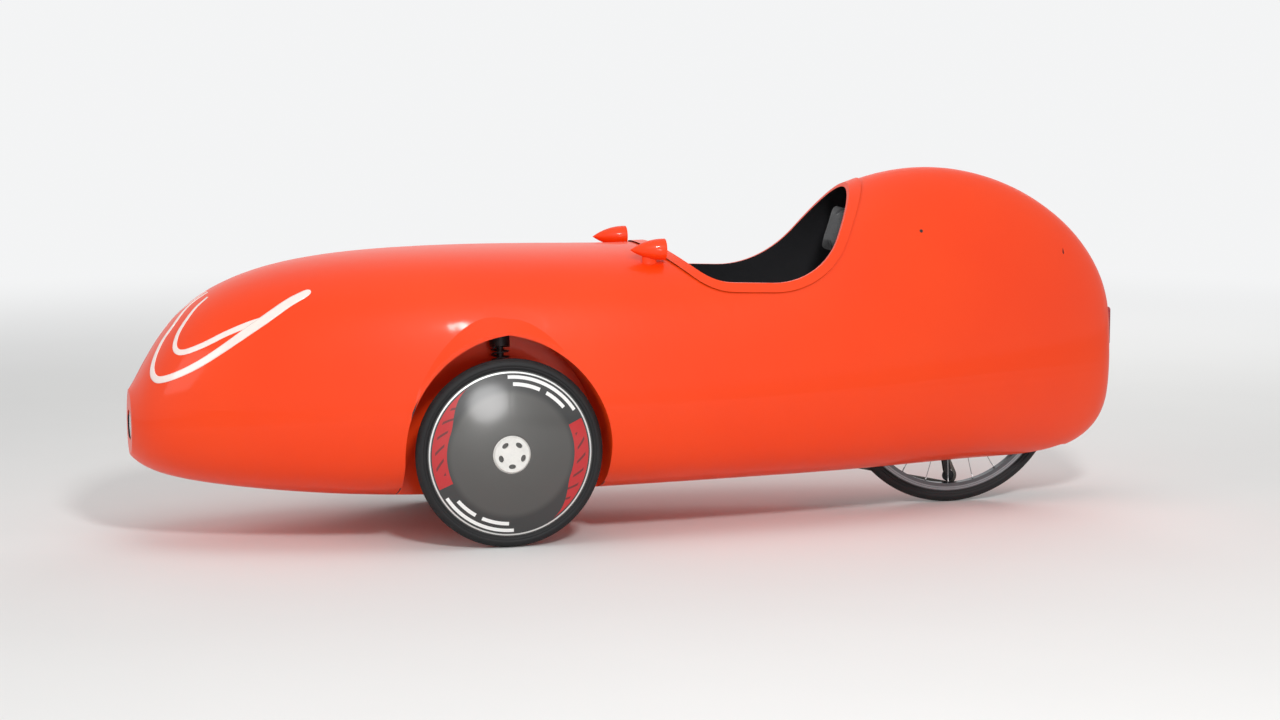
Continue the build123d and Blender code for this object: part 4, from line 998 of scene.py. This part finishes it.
def swollen(name, node, look):
    mesh = nodes[node].data.copy()
    mesh.name = name
    piece = bpy.data.objects.new(name, mesh)
    bpy.context.scene.collection.objects.link(piece)
    work = bmesh.new()
    work.from_mesh(mesh)
    bmesh.ops.remove_doubles(work, verts=work.verts, dist=0.00001)
    work.normal_update()
    for vertex in work.verts:
        vertex.co -= vertex.normal * look["shrink"]
    work.to_mesh(mesh)
    work.free()
    remesh = piece.modifiers.new("Remesh", "REMESH")
    remesh.mode = "VOXEL"
    remesh.voxel_size = look["voxel"]
    applied(piece)
    rest = readPoints(piece.data)
    cloth = piece.modifiers.new("Cloth", "CLOTH")
    cloth.settings.use_pressure = True
    cloth.settings.uniform_pressure_force = look["pressure"]
    cloth.settings.effector_weights.gravity = 0
    for step in range(1, clothSteps + 1):
        bpy.context.scene.frame_set(step)
    evaluated = piece.evaluated_get(bpy.context.evaluated_depsgraph_get())
    shaped = readPoints(evaluated.data)
    piece.modifiers.clear()
    bpy.context.scene.frame_set(1)
    move = shaped - rest
    length = np.linalg.norm(move, axis=1, keepdims=True)
    limit = np.minimum(length, look["cap"])
    writePoints(piece.data, rest + move * limit / np.maximum(length, 1e-9))
    smoothing = piece.modifiers.new("Smooth", "SMOOTH")
    smoothing.factor = 0.5
    smoothing.iterations = 4
    finer = piece.modifiers.new("Subdivision", "SUBSURF")
    finer.levels = 1
    finer.render_levels = 1
    applied(piece)
    piece.data.materials.clear()
    piece.data.materials.append(finishes["fabric"])
    piece.data.shade_smooth()
    return piece


def seatPad():
    look = padLook
    piece = swollen("seat_cushion", "seat_pad", look)
    points = readPoints(piece.data)
    along, above, up, total = besideLine(points[:, [0, 2]], padMiddle(look))
    half = look["thickness"] / 2
    pitch = total / round(total / look["channelPitch"])
    toChannel = np.abs((along + pitch / 2) % pitch - pitch / 2)
    inner = (along > pitch / 2) & (along < total - pitch / 2)
    sideways = np.abs(points[:, 1])
    dip = np.exp(-(toChannel / look["channelWidth"]) ** 2) * inner * (sideways < look["borderY"])
    border = np.exp(-((sideways - look["borderY"]) / look["channelWidth"]) ** 2)
    sewn = np.maximum(dip, border) * look["channelDepth"] * np.clip(above / half, 0, 1)
    target = np.clip(above - sewn, -half, half + look["swell"])
    shift = (target - above)[:, None] * up
    points[:, 0] += shift[:, 0]
    points[:, 2] += shift[:, 1]
    writePoints(piece.data, points)
    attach(piece, "hull")
    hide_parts("seat_pad")


def headPad():
    piece = swollen("head_cushion", "headrest", restLook)
    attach(piece, "hull")
    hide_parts("headrest")


seatPad()
headPad()
print("pads swollen and sewn")


# Nose lamp: one small light source in each reflector
lampLook = {"depth": 0.0215, "spacing": 0.022, "faceX": 1.312, "z": 0.290, "radius": 0.006,
            "steps": 6, "endTurn": 82.8, "sides": 24}
finishes["ledDome"] = plainRecipe("lampDome", rgb(250, 246, 214), rgb(252, 250, 236), 0.15, coat=1.0)


def lampDome(sideName, side):
    look = lampLook
    base = (look["faceX"] - look["depth"], side * look["spacing"], look["z"])
    profile = []
    for step in range(look["steps"] + 1):
        turn = math.radians(look["endTurn"]) * step / look["steps"]
        profile.append((math.sin(turn) * look["radius"], math.cos(turn) * look["radius"]))
    lathe(f"lamp_dome_{sideName}", profile, base, (1, 0, 0), look["sides"], "ledDome", "hull")


for sideName, side in (("left", 1), ("right", -1)):
    lampDome(sideName, side)
print("lamp fitted")


# Floor, light and camera
stageLook = {
    "floor": (0.82, 0.82, 0.81, 1.0),
    "sky": (0.90, 0.905, 0.91, 1.0),
    "ambient": 0.45,
    "fadeStart": 2.5,
    "fadeEnd": 7.0,
    "reach": 30,
    "mottle": 0.97,
    "lamps": [
        # name, place, aimed at, shape, width, height, power, whether glossy surfaces mirror it
        ("keyLamp", (0.0, 5.2, 4.1), (0.1, 0.0, 0.4), "DISK", 0.9, 0.9, 165.0, True),
        ("wheelLamp", (-0.2, 7.0, 0.8), (0.3, 0.3, 0.3), "DISK", 1.3, 1.3, 45.0, True),
        ("topLamp", (0.4, 0.4, 5.2), (0.0, 0.0, 0.4), "RECTANGLE", 4.0, 3.0, 50.0, False),
        ("noseLamp", (5.5, 1.5, 2.6), (0.6, 0.0, 0.4), "RECTANGLE", 2.4, 2.0, 42.0, True),
        ("backLamp", (-3.0, -4.6, 3.2), (0.0, 0.0, 0.4), "RECTANGLE", 4.0, 2.0, 100.0, False),
    ],
}


def facing(spot, aim):
    return (Vector(aim) - Vector(spot)).to_track_quat("-Z", "Y").to_euler()


def makeFloor(look):
    reach = look["reach"]
    corners = [(-reach, -reach, 0), (reach, -reach, 0), (reach, reach, 0), (-reach, reach, 0)]
    mesh = bpy.data.meshes.new("floor")
    mesh.from_pydata(corners, [], [(0, 1, 2, 3)])
    recipe = Recipe("paleFloor")
    darker = tuple(look["mottle"] * part for part in look["floor"][:3]) + (1.0,)
    colour = recipe.blend(recipe.noise(2.0, 3.0), look["floor"], darker)
    recipe.finish(colour=colour, roughness=0.85, specular=0.2)
    # far from the object the floor takes the backdrop's tone, so no horizon shows
    x, y = recipe.split(recipe.spot())[:2]
    far = recipe.soft((x * x + y * y) ** 0.5, look["fadeStart"], look["fadeEnd"])
    seen = recipe.node("ShaderNodeLightPath", output="Is Camera Ray")
    glow = recipe.node("ShaderNodeEmission", None, {"Color": look["sky"], "Strength": 1.0})
    mixed = recipe.node("ShaderNodeMixShader", None, {0: far * seen, 2: glow})
    recipe.tree.links.new(recipe.shader.outputs[0], mixed.socket.node.inputs[1])
    recipe.tree.links.new(mixed.socket, recipe.tree.nodes["Material Output"].inputs["Surface"])
    mesh.materials.append(recipe.material)
    floor = bpy.data.objects.new("floor", mesh)
    bpy.context.scene.collection.objects.link(floor)


def makeBackdrop(look):
    # strength 1 for what the camera sees, also mirrored or through glass, less for its light
    world = bpy.data.worlds.new("studio")
    bpy.context.scene.world = world
    world.use_nodes = True
    tree = world.node_tree
    tree.nodes.clear()
    rays = tree.nodes.new("ShaderNodeLightPath")
    seen = tree.nodes.new("ShaderNodeMath")
    seen.operation = "MAXIMUM"
    tree.links.new(rays.outputs["Is Camera Ray"], seen.inputs[0])
    tree.links.new(rays.outputs["Is Glossy Ray"], seen.inputs[1])
    through = tree.nodes.new("ShaderNodeMath")
    through.operation = "MAXIMUM"
    tree.links.new(seen.outputs[0], through.inputs[0])
    tree.links.new(rays.outputs["Is Transmission Ray"], through.inputs[1])
    strength = tree.nodes.new("ShaderNodeMapRange")
    tree.links.new(through.outputs[0], strength.inputs["Value"])
    strength.inputs["To Min"].default_value = look["ambient"]
    strength.inputs["To Max"].default_value = 1.0
    background = tree.nodes.new("ShaderNodeBackground")
    background.inputs["Color"].default_value = look["sky"]
    tree.links.new(strength.outputs[0], background.inputs["Strength"])
    output = tree.nodes.new("ShaderNodeOutputWorld")
    tree.links.new(background.outputs[0], output.inputs["Surface"])


def hangLamps(look):
    for name, spot, aim, shape, width, height, power, mirrored in look["lamps"]:
        lamp = bpy.data.lights.new(name, "AREA")
        lamp.shape = shape
        lamp.size = width
        lamp.size_y = height
        lamp.energy = power
        holder = bpy.data.objects.new(name, lamp)
        holder.location = spot
        holder.rotation_euler = facing(spot, aim)
        holder.visible_camera = False
        holder.visible_glossy = mirrored
        bpy.context.scene.collection.objects.link(holder)


cameraLook = {"spot": (1.815, 7.121, 1.359), "aim": (0.0, 0.0, 0.41), "lens": 80.0, "sensor": 36.0}


def makeCamera(look):
    data = bpy.data.cameras.new("camera")
    data.lens = look["lens"]
    data.sensor_width = look["sensor"]
    camera = bpy.data.objects.new("camera", data)
    camera.location = look["spot"]
    camera.rotation_euler = facing(look["spot"], look["aim"])
    bpy.context.scene.collection.objects.link(camera)
    bpy.context.scene.camera = camera


makeFloor(stageLook)
makeBackdrop(stageLook)
hangLamps(stageLook)
makeCamera(cameraLook)
bpy.context.scene.view_settings.view_transform = "Standard"
print("stage and camera set")
